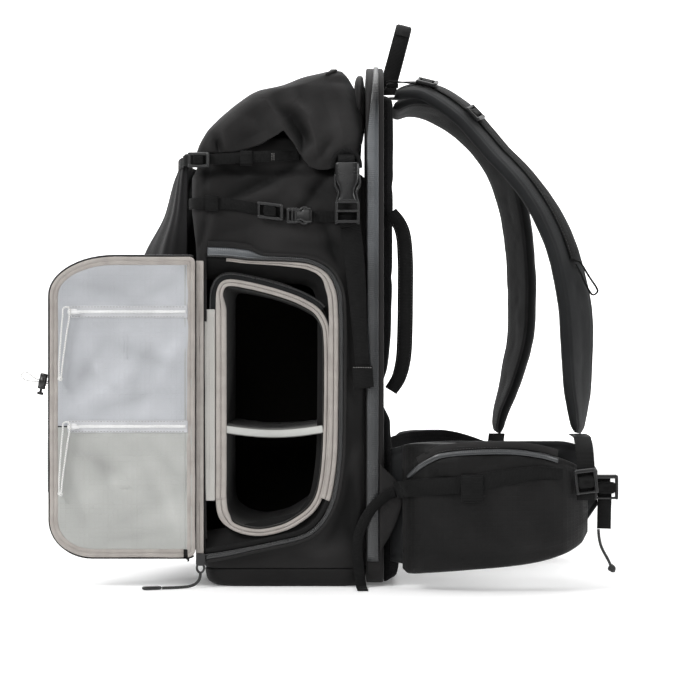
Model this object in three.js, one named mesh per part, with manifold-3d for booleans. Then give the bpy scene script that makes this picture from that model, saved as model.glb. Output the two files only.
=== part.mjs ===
import * as THREE from 'three';
import { mergeVertices } from 'three/addons/utils/BufferGeometryUtils.js';
import Module from 'manifold-3d';

const wasm = await Module();
wasm.setup();

// A camera backpack that stands on its base, side door open. Millimetres, +Z up.
// +X points to the wearer's back, -Y to the side with the door; the origin is the centre of the flat base.

// Bag
const packWidth = 300;
const bagDepth = 193;
const bagRearX = 68;
const bagTopZ = 490;
const baseHeight = 20;
const baseWall = 4;
const clothWall = 2.5;
const seamGap = 0.4;
const bagCorner = 13;

// Rolled top
const hoodRimZ = 450;
const hoodTopZ = 566;
const hoodDepth = 178;
const hoodRearX = 60.5;
const hoodWall = 2.8;
const hoodCorner = 16;

// Front pocket
const pocketReach = 62;
const pocketHeight = 448;
const pocketWidth = 250;
const pocketWall = 2.2;

// Laptop compartment with its zipper band
const rearDepth = 19.5;
const rearHeight = 571;
const rearWidth = 292;
const rearWall = 4;
const rearCorner = 55;
const rearZipWidth = 13;
const rearZipThick = 1.6;

// Side opening, camera insert and its divider
const openingFrontX = -108;
const openingWidth = 148;
const openingLowZ = 34;
const openingHeight = 329;
const zipBand = 8;
const bandThick = 1.8;
const bindingWidth = 10;
const cubeWall = 9;
const cubeDepth = 240;
const cubeFrontX = -98.5;
const cubeWidth = 133;
const cubeLowZ = 50;
const cubeHeight = 287;
const cubeBindingWidth = 9;
const dividerZ = 176;
const dividerThick = 9;
const dividerSag = 5;
const hookStripLowZ = 94;
const hookStripLength = 208;

// Door
const doorWidth = 157;
const doorHeight = 325;
const doorLowZ = 33.5;
const doorThick = 7;
const doorBindingWidth = 9;
const liningThick = 1.5;
const doorZipWidth = 12;
const doorZipThick = 2;
const upperZipZ = 299;
const lowerZipZ = 175;
const hingeWidth = 8.5;
const hingeSink = 0.25;
const pullCord = 1.9;
const pullLength = 72;
const lockZ = 223.5;
const lockTilt = 12;
const lockRadius = 4.3;
const lockPress = 3;
const loopCord = 1.6;
const loopReach = 24;

// Webbing
const webbingThick = 1.6;
const upperStrapWidth = 11.5;
const lowerStrapWidth = 12;
const topStrapWidth = 22;
const handleWidth = 17;
const haulWidth = 18;
const haulSpan = 62;
const haulRise = 58;
const hipStrapWidth = 18;
const buckleThick = 4.2;

// Harness
const backPadThick = 11;
const backPadWidth = 224;
const backPadTopZ = 539;
const backPadLowZ = 226;
const lumbarThick = 9;
const lumbarTopZ = 192;
const strapWidth = 64;
const strapThick = 13;
const strapReach = 202;
const strapTopZ = 549;
const strapEndZ = 166;
const strapSpread = 62;
const liftWidth = 14;
const hipReach = 232;
const hipThick = 11;
const hipSpread = 128;
const hipPocketBulge = 40;
const cordThick = 3.2;

const nearY = -packWidth / 2;
const sideGap = 0.5;

const part = new THREE.Group();

const finishes = {
  cloth: { color: 0x252424, roughness: 0.85 },
  pad: { color: 0x1d1e1f, roughness: 0.9 },
  webbing: { color: 0x191817, roughness: 0.8 },
  plastic: { color: 0x141414, roughness: 0.45 },
  zipper: { color: 0x6c7174, roughness: 0.35 },
  binding: { color: 0xcdc8c4, roughness: 0.9 },
  lining: { color: 0xc4c9d0, roughness: 0.8 },
  lowerLining: { color: 0xbec1bf, roughness: 0.8 },
  coil: { color: 0xe6e6e6, roughness: 0.5 },
  cord: { color: 0xdedede, roughness: 0.8 },
};

// Turns a geometry's triangles round where they point inwards.
function facingOut(geometry) {
  const plain = new THREE.BufferGeometry();
  plain.setAttribute('position', geometry.getAttribute('position').clone());
  if (geometry.index) plain.setIndex(geometry.index.clone());
  const merged = mergeVertices(plain, 1e-4);
  const at = merged.getAttribute('position');
  const index = merged.index.array;
  const corner = [new THREE.Vector3(), new THREE.Vector3(), new THREE.Vector3()];
  const kept = [];
  let volume = 0;
  for (let i = 0; i < index.length; i += 3) {
    if (index[i] === index[i + 1] || index[i + 1] === index[i + 2] || index[i] === index[i + 2]) continue;
    corner.forEach((point, k) => point.fromBufferAttribute(at, index[i + k]));
    volume += corner[0].dot(corner[1].clone().cross(corner[2]));
    kept.push(index[i], index[i + 1], index[i + 2]);
  }
  if (volume < 0) {
    for (let i = 0; i < kept.length; i += 3) [kept[i], kept[i + 1]] = [kept[i + 1], kept[i]];
  }
  merged.setIndex(kept);
  return merged;
}

function solidOf(geometry) {
  const closed = facingOut(geometry);
  const vertProperties = new Float32Array(closed.getAttribute('position').array);
  const triVerts = new Uint32Array(closed.index.array);
  return new wasm.Manifold(new wasm.Mesh({ numProp: 3, vertProperties, triVerts }));
}

function geometryOf(solid) {
  const mesh = solid.getMesh();
  const geometry = new THREE.BufferGeometry();
  geometry.setAttribute('position', new THREE.BufferAttribute(Float32Array.from(mesh.vertProperties), 3));
  geometry.setIndex(Array.from(mesh.triVerts));
  return geometry;
}

const cut = (body, ...tools) => geometryOf(tools.reduce((left, tool) => left.subtract(solidOf(tool)), solidOf(body)));
const join = (first, ...more) => geometryOf(more.reduce((sum, next) => sum.add(solidOf(next)), solidOf(first)));

// A closed solid through rings of equal point counts; closed = true joins the last ring to the first.
function loft(rings, closed = false) {
  const count = rings[0].length;
  const points = rings.flat();
  const faces = [];
  const rows = closed ? rings.length : rings.length - 1;
  for (let row = 0; row < rows; row += 1) {
    const next = (row + 1) % rings.length;
    for (let i = 0; i < count; i += 1) {
      const j = (i + 1) % count;
      faces.push(row * count + i, row * count + j, next * count + j);
      faces.push(row * count + i, next * count + j, next * count + i);
    }
  }
  if (!closed) {
    for (const [row, turn] of [[0, 1], [rings.length - 1, -1]]) {
      const middle = rings[row].reduce((sum, point) => sum.add(point), new THREE.Vector3()).divideScalar(count);
      points.push(middle);
      for (let i = 0; i < count; i += 1) {
        const ends = [row * count + i, row * count + ((i + 1) % count)];
        if (turn > 0) ends.reverse();
        faces.push(ends[0], ends[1], points.length - 1);
      }
    }
  }
  const geometry = new THREE.BufferGeometry().setFromPoints(points);
  geometry.setIndex(faces);
  return facingOut(geometry);
}

// A level ring of a rounded rectangle, with points along its sides so that folds can move them.
function levelRing({ front, rear, half, corner, z }, sideSteps = 10, endSteps = 4, cornerSteps = 3) {
  const ring = [];
  const turns = [
    { x: rear - corner, y: -half + corner, from: -Math.PI / 2, steps: endSteps },
    { x: rear - corner, y: half - corner, from: 0, steps: sideSteps },
    { x: front + corner, y: half - corner, from: Math.PI / 2, steps: endSteps },
    { x: front + corner, y: -half + corner, from: Math.PI, steps: sideSteps },
  ];
  turns.forEach((turn, at) => {
    const next = turns[(at + 1) % turns.length];
    for (let i = 0; i <= cornerSteps; i += 1) {
      const angle = turn.from + (i / cornerSteps) * (Math.PI / 2);
      ring.push(new THREE.Vector3(turn.x + corner * Math.cos(angle), turn.y + corner * Math.sin(angle), z));
    }
    const start = ring[ring.length - 1];
    const end = new THREE.Vector3(next.x + corner * Math.cos(next.from), next.y + corner * Math.sin(next.from), z);
    for (let i = 1; i < turn.steps; i += 1) ring.push(start.clone().lerp(end, i / turn.steps));
  });
  return ring;
}

// How deep the folds of a table press the cloth at a point given as shares across and up.
function foldDepth(folds, across, up, aspect = 1) {
  return folds.reduce((sum, fold) => {
    const dx = fold.toAcross - fold.fromAcross;
    const dz = (fold.toUp - fold.fromUp) * aspect;
    const px = across - fold.fromAcross;
    const pz = (up - fold.fromUp) * aspect;
    const along = THREE.MathUtils.clamp((px * dx + pz * dz) / (dx * dx + dz * dz), 0, 1);
    const away = Math.hypot(px - along * dx, pz - along * dz);
    return sum + fold.depth * Math.exp(-((away / fold.reach) ** 2));
  }, 0);
}

// Reads a value of a table's column between its rows by straight lines.
function between(rows, key, value, at) {
  const last = rows.length - 1;
  if (at <= rows[0][key]) return rows[0][value];
  if (at >= rows[last][key]) return rows[last][value];
  const next = rows.findIndex((row) => row[key] > at);
  const [low, high] = [rows[next - 1], rows[next]];
  return THREE.MathUtils.lerp(low[value], high[value], (at - low[key]) / (high[key] - low[key]));
}

// A flat strip of webbing through stations { at, face }; its inner face lies on the stations.
function strip(stations, width, thick, closed = false, widthAt = () => 1) {
  const rings = stations.map((station, i) => {
    const ahead = closed ? stations[(i + 1) % stations.length] : stations[Math.min(i + 1, stations.length - 1)];
    const behind = closed ? stations.at(i - 1) : stations[Math.max(i - 1, 0)];
    const along = ahead.at.clone().sub(behind.at).normalize();
    const across = new THREE.Vector3().crossVectors(along, station.face).normalize();
    const up = new THREE.Vector3().crossVectors(across, along).normalize();
    const half = (width / 2) * widthAt(i / (stations.length - 1));
    return [[-1, 0], [1, 0], [1, 1], [-1, 1]].map(([side, level]) => station.at.clone()
      .addScaledVector(across, side * half).addScaledVector(up, level * thick));
  });
  return loft(rings, closed);
}

// A padded band: a rounded section carried through stations { at, face, width, thick }.
function padBand(stations, sectionSteps = 10) {
  const rings = stations.map((station, i) => {
    const ahead = stations[Math.min(i + 1, stations.length - 1)];
    const behind = stations[Math.max(i - 1, 0)];
    const along = ahead.at.clone().sub(behind.at).normalize();
    const across = new THREE.Vector3().crossVectors(along, station.face).normalize();
    const up = new THREE.Vector3().crossVectors(across, along).normalize();
    return Array.from({ length: sectionSteps }, (_, k) => {
      const angle = ((k + 0.5) / sectionSteps) * Math.PI * 2;
      const wide = Math.sign(Math.cos(angle)) * Math.abs(Math.cos(angle)) ** 0.35;
      const deep = Math.sign(Math.sin(angle)) * Math.abs(Math.sin(angle)) ** 0.6;
      return station.at.clone().addScaledVector(across, (wide * station.width) / 2)
        .addScaledVector(up, (deep * station.thick) / 2);
    });
  });
  return loft(rings);
}

// A cord of round section along a smooth curve through its points.
function tube(points, thick, steps, sides = 8) {
  const section = new THREE.Shape(Array.from({ length: sides }, (_, k) => {
    const angle = (k / sides) * Math.PI * 2;
    return new THREE.Vector2((Math.cos(angle) * thick) / 2, (Math.sin(angle) * thick) / 2);
  }));
  const extrudePath = new THREE.CatmullRomCurve3(points, false, 'centripetal');
  return facingOut(new THREE.ExtrudeGeometry(section, { steps, extrudePath }));
}

// A rounded rectangle; corners = { lowLeft, lowRight, topRight, topLeft } as [across, up] radii.
function roundedShape(left, low, right, top, corners, path = new THREE.Shape()) {
  const { lowLeft, lowRight, topRight, topLeft } = corners;
  path.moveTo(left + lowLeft[0], low);
  path.lineTo(right - lowRight[0], low);
  path.absellipse(right - lowRight[0], low + lowRight[1], lowRight[0], lowRight[1], -Math.PI / 2, 0, false, 0);
  path.lineTo(right, top - topRight[1]);
  path.absellipse(right - topRight[0], top - topRight[1], topRight[0], topRight[1], 0, Math.PI / 2, false, 0);
  path.lineTo(left + topLeft[0], top);
  path.absellipse(left + topLeft[0], top - topLeft[1], topLeft[0], topLeft[1], Math.PI / 2, Math.PI, false, 0);
  path.lineTo(left, low + lowLeft[1]);
  path.absellipse(left + lowLeft[0], low + lowLeft[1], lowLeft[0], lowLeft[1], Math.PI, Math.PI * 1.5, false, 0);
  return path;
}

const evenCorners = (radius) => ({
  lowLeft: [radius, radius], lowRight: [radius, radius], topRight: [radius, radius], topLeft: [radius, radius],
});

// A shape in X and Z, extruded along Y from one value to another.
function sidePlate(shape, fromY, toY, curveSegments = 4) {
  const depth = Math.abs(toY - fromY);
  const geometry = new THREE.ExtrudeGeometry(shape, { depth, bevelEnabled: false, curveSegments });
  geometry.rotateX(Math.PI / 2);
  geometry.translate(0, Math.max(fromY, toY), 0);
  return facingOut(geometry);
}

function frameShape(outer, inner) {
  outer.holes.push(inner);
  return outer;
}

function add(name, geometry, finish) {
  const { color, roughness } = finishes[finish];
  const mesh = new THREE.Mesh(facingOut(geometry), new THREE.MeshStandardMaterial({ color, roughness, metalness: 0 }));
  mesh.name = name;
  part.add(mesh);
}

const mirrored = (geometry) => facingOut(geometry.clone().scale(1, -1, 1));
const V = (x, y, z) => new THREE.Vector3(x, y, z);
const sideFace = V(0, -1, 0);

// Bag body: level sections, lengths as shares of the bag's depth, width and height
const bagSections = [
  { up: 0, reach: 0.905, rear: 0, half: 0.965, corner: 1.4 },
  { up: 0.03, reach: 0.94, rear: 0, half: 0.99, corner: 1 },
  { up: 0.12, reach: 0.952, rear: 0, half: 1, corner: 1 },
  { up: 0.4, reach: 0.96, rear: 0, half: 1, corner: 1 },
  { up: 0.72, reach: 0.965, rear: 0, half: 1, corner: 1 },
  { up: 0.78, reach: 0.982, rear: 0, half: 0.995, corner: 1.3 },
  { up: 0.86, reach: 1, rear: 0, half: 0.99, corner: 1.7 },
  { up: 0.905, reach: 0.998, rear: 0, half: 0.98, corner: 1.7 },
  { up: 0.925, reach: 0.93, rear: 0.0555, half: 0.9, corner: 1.4 },
  { up: 1, reach: 0.86, rear: 0.0555, half: 0.88, corner: 1.4 },
];

// Folds pressed into the bag's sides, as shares across (0 rear, 1 front) and up
const bagFolds = [
  { fromAcross: 0.76, fromUp: 0.81, toAcross: 0.47, toUp: 0.9, depth: 4, reach: 0.035 },
  { fromAcross: 0.3, fromUp: 0.88, toAcross: 0.44, toUp: 0.81, depth: 3, reach: 0.04 },
  { fromAcross: 0.92, fromUp: 0.87, toAcross: 0.95, toUp: 0.73, depth: 2.5, reach: 0.03 },
];

function bagRing(section, inset, folded) {
  const height = bagTopZ - baseHeight - seamGap;
  const ring = levelRing({
    front: bagRearX - section.reach * bagDepth + inset,
    rear: bagRearX - section.rear * bagDepth - inset,
    half: (section.half * packWidth) / 2 - inset,
    corner: section.corner * bagCorner,
    z: baseHeight + seamGap + section.up * height,
  }, folded ? 8 : 2, 2);
  if (folded) {
    ring.forEach((point) => {
      const across = (bagRearX - point.x) / bagDepth;
      const press = foldDepth(bagFolds, across, section.up, height / bagDepth);
      point.y -= Math.sign(point.y) * press * THREE.MathUtils.smoothstep(Math.abs(point.y), packWidth / 4, packWidth / 2.6);
    });
  }
  return ring;
}

function refined(sections, steps) {
  const levels = Array.from({ length: steps + 1 }, (_, i) => i / steps);
  const ups = [...new Set([...sections.map((row) => row.up), ...levels])].sort((a, b) => a - b);
  const kept = ups.filter((up, i) => i === 0 || up - ups[i - 1] > 0.012 || sections.some((row) => row.up === up));
  return kept.map((up) => {
    const row = { up };
    for (const key of Object.keys(sections[0])) if (key !== 'up') row[key] = between(sections, 'up', key, up);
    return row;
  });
}

const openingCorners = (shrink) => ({
  lowLeft: [6, 6], lowRight: [62 - shrink, 58 - shrink], topRight: [48 - shrink, 50 - shrink], topLeft: [6, 6],
});

function openingShape(shrink, path) {
  return roundedShape(openingFrontX + shrink, openingLowZ + shrink, openingFrontX + openingWidth - shrink,
    openingLowZ + openingHeight - shrink, openingCorners(shrink), path);
}

function packShell() {
  const outer = loft(refined(bagSections, 11).map((row) => bagRing(row, 0, true)));
  const floorUp = clothWall / (bagTopZ - baseHeight);
  const inner = bagSections.map((row, i) => bagRing({ ...row, up: i === 0 ? floorUp : row.up }, clothWall, false));
  const hollow = loft([...inner.slice(0, -1), bagRing({ ...bagSections.at(-1), up: 1.02 }, clothWall, false)]);
  const opening = sidePlate(openingShape(0), nearY - packWidth / 4, nearY + packWidth / 6);
  return cut(outer, hollow, opening);
}

function basePanel() {
  const rows = [
    { up: 0, reach: 0.86, half: 0.93, corner: 2 },
    { up: 0.35, reach: 0.9, half: 0.96, corner: 1.6 },
    { up: 1, reach: 0.912, half: 0.97, corner: 1.4 },
  ];
  const ring = (row, inset, z) => levelRing({
    front: bagRearX - row.reach * bagDepth + inset,
    rear: bagRearX - inset,
    half: (row.half * packWidth) / 2 - inset,
    corner: row.corner * bagCorner,
    z,
  }, 4, 2);
  const outer = loft(rows.map((row) => ring(row, 0, row.up * baseHeight)));
  const hollow = loft([ring(rows[1], clothWall, baseWall), ring(rows[2], clothWall, baseHeight * 1.2)]);
  return cut(outer, hollow);
}

// Rolled top: level sections, reach as a share of its depth, rear as a shift, half as a share of the width
const hoodSections = [
  { up: 0, reach: 0.997, rear: 0, half: 0.997, corner: 1 },
  { up: 0.18, reach: 0.997, rear: 0, half: 1, corner: 1.1 },
  { up: 0.38, reach: 0.943, rear: 0.02, half: 0.99, corner: 1.3 },
  { up: 0.51, reach: 0.876, rear: 0.022, half: 0.97, corner: 1.6 },
  { up: 0.62, reach: 0.8, rear: 0.02, half: 0.95, corner: 1.8 },
  { up: 0.69, reach: 0.748, rear: 0.014, half: 0.935, corner: 1.9 },
  { up: 0.8, reach: 0.643, rear: -0.014, half: 0.91, corner: 2 },
  { up: 0.86, reach: 0.5, rear: -0.03, half: 0.89, corner: 2 },
  { up: 0.95, reach: 0.34, rear: -0.06, half: 0.85, corner: 1.5 },
  { up: 1, reach: 0.21, rear: -0.09, half: 0.8, corner: 0.8 },
];

const hoodFolds = [
  { fromAcross: 0.62, fromUp: 0.84, toAcross: 0.45, toUp: 0.42, depth: -4, reach: 0.06 },
  { fromAcross: 0.4, fromUp: 0.86, toAcross: 0.3, toUp: 0.12, depth: 5, reach: 0.05 },
  { fromAcross: 0.88, fromUp: 0.5, toAcross: 0.86, toUp: 0.1, depth: 3, reach: 0.04 },
  { fromAcross: 0.7, fromUp: 0.34, toAcross: 0.5, toUp: 0.44, depth: 5, reach: 0.05 },
  { fromAcross: 0.36, fromUp: 0.3, toAcross: 0.32, toUp: 0.08, depth: 7, reach: 0.05 },
];

// The hood's lower edge on the side, across from the rear and up from the rim
const hoodRim = [
  { across: -0.05, up: 0.14 }, { across: 0.15, up: 0.05 }, { across: 0.235, up: 0.04 },
  { across: 0.35, up: 0.08 }, { across: 0.417, up: 0.27 }, { across: 0.46, up: 0.4 },
  { across: 0.555, up: 0.32 }, { across: 0.68, up: 0.23 }, { across: 0.77, up: 0.18 }, { across: 1.1, up: 0.18 },
];

function hoodRing(section, inset, folded) {
  const ring = levelRing({
    front: hoodRearX - section.reach * hoodDepth + inset,
    rear: hoodRearX + section.rear * hoodDepth * 1.1 - inset,
    half: (section.half * packWidth) / 2 - inset,
    corner: section.corner * hoodCorner,
    z: hoodRimZ + section.up * (hoodTopZ - hoodRimZ) - (section.up > 0.9 ? inset : 0),
  }, folded ? 9 : 4, 2);
  if (folded) {
    ring.forEach((point) => {
      const across = (hoodRearX - point.x) / hoodDepth;
      const press = foldDepth(hoodFolds, across, section.up, (hoodTopZ - hoodRimZ) / hoodDepth);
      point.y -= Math.sign(point.y) * press * THREE.MathUtils.smoothstep(Math.abs(point.y), packWidth / 4, packWidth / 2.6);
    });
  }
  return ring;
}

function rollTopHood() {
  const outer = loft(refined(hoodSections, 9).map((row) => hoodRing(row, 0, true)));
  const inner = hoodSections.map((row, i) => hoodRing(i === 0 ? { ...row, up: -0.05 } : row, hoodWall, true));
  const edge = new THREE.Shape();
  const at = ({ across, up }) => [hoodRearX - across * hoodDepth, hoodRimZ + up * (hoodTopZ - hoodRimZ)];
  edge.moveTo(...at({ across: -0.05, up: -0.2 }));
  hoodRim.forEach((row) => edge.lineTo(...at(row)));
  edge.lineTo(...at({ across: 1.1, up: -0.2 }));
  return cut(outer, loft(inner), sidePlate(edge, -packWidth, packWidth));
}

// Front pocket: reach forward of the bag and half width as shares, up as a share of the pocket's height
const pocketSections = [
  { up: 0, reach: 0.06, half: 0.9 },
  { up: 0.05, reach: 0.3, half: 0.95 },
  { up: 0.2, reach: 0.72, half: 1 },
  { up: 0.5, reach: 1, half: 1 },
  { up: 0.73, reach: 0.9, half: 1 },
  { up: 0.86, reach: 0.47, half: 0.98 },
  { up: 0.95, reach: 0.3, half: 0.94 },
  { up: 1, reach: 0.12, half: 0.92 },
];
const pocketLowZ = 26;
const pocketBackX = () => bagRearX - bagDepth - seamGap - clothWall;

function pocketRing(row, inset, z, deeper) {
  const ring = [];
  const steps = 12;
  const half = (row.half * pocketWidth) / 2 - inset;
  const reach = row.reach * pocketReach + pocketWall - inset;
  const pleat = 0.05;
  for (let i = 0; i <= steps; i += 1) {
    const angle = Math.PI / 2 + (i / steps) * Math.PI;
    const wave = 1 - pleat * Math.cos(angle * 8) * Math.sin((i / steps) * Math.PI);
    ring.push(V(pocketBackX() + reach * Math.cos(angle) * wave, half * Math.sin(angle) * wave, z));
  }
  ring.push(V(pocketBackX() + deeper, -half * (deeper > 0 ? 1 : 0.98), z));
  ring.push(V(pocketBackX() + deeper, half * (deeper > 0 ? 1 : 0.98), z));
  return ring;
}

function frontPocket() {
  const levels = refined(pocketSections, 1);
  const outer = levels.map((row) => pocketRing(row, 0, pocketLowZ + row.up * pocketHeight, clothWall));
  const inner = levels.map((row, i) => {
    const z = pocketLowZ + (i === 0 ? pocketWall : row.up * pocketHeight);
    return pocketRing(row, pocketWall, i === levels.length - 1 ? z + 5 : z, pocketReach / 4);
  });
  return cut(loft(outer), loft(inner));
}

// Laptop compartment: a tray open to the bag, and the zipper band on its edge
const rearFrontX = bagRearX + seamGap;
const rearCorners = (radius) => ({
  lowLeft: [20, 20], lowRight: [20, 20], topRight: [radius, radius], topLeft: [radius, radius],
});

function rearPlate(shrink, fromX, toX, lowZ) {
  const half = rearWidth / 2 - shrink;
  const shape = roundedShape(-half, lowZ + shrink, half, rearHeight - shrink, rearCorners(rearCorner - shrink));
  const geometry = new THREE.ExtrudeGeometry(shape, { depth: toX - fromX, bevelEnabled: false, curveSegments: 6 });
  geometry.rotateX(Math.PI / 2);
  geometry.rotateZ(Math.PI / 2);
  geometry.translate(fromX, 0, 0);
  return facingOut(geometry);
}

const rearLowZ = 2.5;

function rearCompartment() {
  const outer = rearPlate(0, rearFrontX, rearFrontX + rearDepth, rearLowZ);
  const hollow = rearPlate(rearWall, rearFrontX - rearDepth / 4, rearFrontX + rearDepth - rearWall, rearLowZ);
  return cut(outer, hollow);
}

function rearZip() {
  const middle = rearFrontX + 1 + rearZipWidth / 2;
  const out = (shrink) => rearPlate(shrink, middle - rearZipWidth / 2, middle + rearZipWidth / 2, rearLowZ);
  const band = cut(out(-seamGap - rearZipThick), out(-seamGap));
  const below = sidePlate(roundedShape(0, -packWidth, packWidth, rearLowZ + 24, evenCorners(1)), packWidth, -packWidth);
  return cut(band, below);
}

// Opening band, binding, hinge strip and hook strip
function openingPath(shrink, y) {
  const outline = openingShape(shrink).getPoints(6);
  const right = outline.filter((point, i) => i === 0 || point.distanceTo(outline[i - 1]) > 0.5);
  const start = right.findIndex((point) => point.x > openingFrontX + shrink + 12);
  const end = right.findLastIndex((point) => point.x > openingFrontX + shrink + 12);
  const line = [...right.slice(start, end + 1)];
  line.unshift(new THREE.Vector2(openingFrontX + shrink + 12, openingLowZ + shrink));
  line.push(new THREE.Vector2(openingFrontX + shrink + 12, openingLowZ + openingHeight - shrink));
  return line.map((point) => ({ at: V(point.x, y, point.y), face: sideFace }));
}

const openingBand = (shrink, width, y) => strip(openingPath(shrink, y), width, bandThick);

// Camera insert
const cubeCorners = (shrink) => ({
  lowLeft: [18 - shrink, 22 - shrink],
  lowRight: [44 - shrink, 34 - shrink],
  topRight: [52 - shrink, 44 - shrink],
  topLeft: [14 - shrink, 12 - shrink],
});

const cubeFootZ = baseHeight + 2 * seamGap + clothWall;

function cubeShape(shrink, path) {
  return roundedShape(cubeFrontX + shrink, cubeLowZ + shrink, cubeFrontX + cubeWidth - shrink,
    cubeLowZ + cubeHeight - shrink, cubeCorners(shrink), path);
}

const cubeMouthY = nearY + 5;

function cameraCube() {
  const outer = sidePlate(cubeShape(0), cubeMouthY, cubeMouthY + cubeDepth);
  const hollow = sidePlate(cubeShape(cubeWall), cubeMouthY - 5, cubeMouthY + cubeDepth - cubeWall);
  const foot = sidePlate(roundedShape(cubeFrontX + 6, cubeFootZ, cubeFrontX + cubeWidth - 20, cubeLowZ + cubeWall / 2,
    evenCorners(2)), cubeMouthY + 12, cubeMouthY + cubeDepth - 12);
  return cut(join(outer, foot), hollow);
}

function cubeDivider() {
  const left = cubeFrontX + cubeWall + seamGap;
  const right = cubeFrontX + cubeWidth - cubeWall - seamGap;
  const steps = 6;
  const shape = new THREE.Shape();
  const level = (i) => dividerZ - dividerSag * Math.sin((i / steps) * Math.PI);
  shape.moveTo(left, level(0) - dividerThick);
  for (let i = 1; i <= steps; i += 1) shape.lineTo(left + ((right - left) * i) / steps, level(i) - dividerThick);
  for (let i = steps; i >= 0; i -= 1) shape.lineTo(left + ((right - left) * i) / steps, level(i));
  return sidePlate(shape, cubeMouthY + 1, cubeMouthY + cubeDepth - cubeWall - seamGap);
}

// Door, opened flat in line with the bag's side
const doorRightX = bagRearX - 0.965 * bagDepth + 1.5;
const doorLeftX = doorRightX - doorWidth;
const doorOuterY = nearY + 2;
const doorInnerY = doorOuterY - doorThick;
const doorCorners = (shrink) => ({
  lowLeft: [46 - shrink, 40 - shrink],
  lowRight: [8, 8],
  topRight: [6, 6],
  topLeft: [70 - shrink, 42 - shrink],
});

function doorShape(shrink, path, edges = {}) {
  const low = edges.low ?? doorLowZ + shrink;
  const top = edges.top ?? doorLowZ + doorHeight - shrink;
  const corners = doorCorners(shrink);
  if (edges.low !== undefined) corners.lowLeft = corners.lowRight = [0.5, 0.5];
  if (edges.top !== undefined) corners.topLeft = corners.topRight = [0.5, 0.5];
  return roundedShape(doorLeftX + shrink, low, doorRightX - (shrink ? 1 : 0), top, corners, path);
}

const liningY = doorInnerY - seamGap;
const liningShrink = doorBindingWidth + seamGap;
const lining = (edges) => sidePlate(doorShape(liningShrink, undefined, edges), liningY, liningY - liningThick);

function doorBinding() {
  const inner = roundedShape(doorLeftX + doorBindingWidth, doorLowZ + doorBindingWidth, doorRightX - 0.6,
    doorLowZ + doorHeight - doorBindingWidth, doorCorners(doorBindingWidth), new THREE.Path());
  return sidePlate(frameShape(doorShape(0), inner), liningY, liningY - bandThick);
}

function doorZip(z) {
  const left = doorLeftX + liningShrink + 11;
  const right = doorRightX - 9;
  const band = roundedShape(left, z - doorZipWidth / 2, right, z + doorZipWidth / 2, evenCorners(1.5));
  const y = liningY - liningThick - seamGap;
  const base = sidePlate(band, y, y - doorZipThick, 1);
  const tab = sidePlate(roundedShape(left - 2, z - 2.4, left + 12, z + 2.4, evenCorners(2.2)), y - 1, y - doorZipThick - 2, 1);
  return join(base, tab);
}

// Black tape round the door's free edges
function doorZipTape() {
  const outer = sidePlate(doorShape(-seamGap - bandThick), doorOuterY - 1, doorInnerY + 1);
  const inner = roundedShape(doorLeftX - seamGap, doorLowZ - seamGap, doorRightX + hingeWidth,
    doorLowZ + doorHeight + seamGap, doorCorners(-seamGap));
  return cut(outer, sidePlate(inner, doorOuterY, doorInnerY));
}

// A doubled pull cord: up from the knot, through the slider's tab and back down to the knot
const pullY = liningY - liningThick - seamGap - doorZipThick - 3.4;

function pullRoute(z) {
  const left = doorLeftX + liningShrink + 11;
  const turn = 2.1 * pullCord;
  const rows = [
    [-9.6, -0.98], [-9.4, -0.8], [-8.6, -0.6], [-7.6, -0.4], [-6.6, -0.2], [-5.6, -0.06],
  ];
  const leftSide = rows.map(([x, share]) => V(left + x, pullY, z + share * pullLength));
  const arc = [160, 125, 90, 55, 20].map((degrees) => {
    const angle = THREE.MathUtils.degToRad(degrees);
    return V(left - 1.6 + turn * Math.cos(angle), pullY, z + 1.2 + turn * Math.sin(angle));
  });
  const rightSide = [...rows].reverse().map(([x, share]) => V(
    left + x + THREE.MathUtils.lerp(pullCord + 0.5, 2 * turn - 0.2, 1 + share), pullY, z + share * pullLength));
  return [...leftSide, ...arc, ...rightSide];
}

function pullCordSolid(z) {
  const route = pullRoute(z);
  const knot = new THREE.SphereGeometry(pullCord * 1.5, 6, 4);
  knot.translate(route[0].x + pullCord * 0.6, route[0].y, route[0].z - pullCord);
  return join(tube(route, pullCord, 28), knot);
}

// Cord lock on the door's edge: a barrel, its sprung plunger and the elastic that passes through both
const lockX = doorLeftX - seamGap - bandThick - lockRadius - 2;
const lockY = (doorOuterY + doorInnerY) / 2;

function placeLock(geometry) {
  geometry.rotateY(THREE.MathUtils.degToRad(lockTilt));
  geometry.translate(lockX, lockY, lockZ);
  return geometry;
}

function turned(rows, sides = 10) {
  const profile = rows.map(([radius, up]) => new THREE.Vector2(radius, up));
  return new THREE.LatheGeometry(profile, sides).rotateX(Math.PI / 2);
}

function crossSlot(low, high) {
  const slot = new THREE.BoxGeometry(lockRadius * 4, loopCord * 1.6, high - low);
  return slot.translate(0, 0, (low + high) / 2);
}

function lockBarrel() {
  const body = turned([[0, -8], [lockRadius - 0.8, -8], [lockRadius, -7], [lockRadius, 8], [lockRadius - 1, 9], [0, 9]]);
  const bore = turned([[0, -9], [lockRadius - 1.1, -9], [lockRadius - 1.1, 7.4], [0, 7.4]]);
  return placeLock(cut(body, bore, crossSlot(-2.4, 2.4)));
}

function lockPlunger() {
  const stem = lockRadius - 1.5;
  const body = turned([[0, -14.5], [stem + 0.7, -14.5], [stem + 0.7, -11.6], [stem, -11.5], [stem, 4], [0, 4]]);
  return placeLock(cut(body, crossSlot(-2.4 - lockPress, 2.4)));
}

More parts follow.
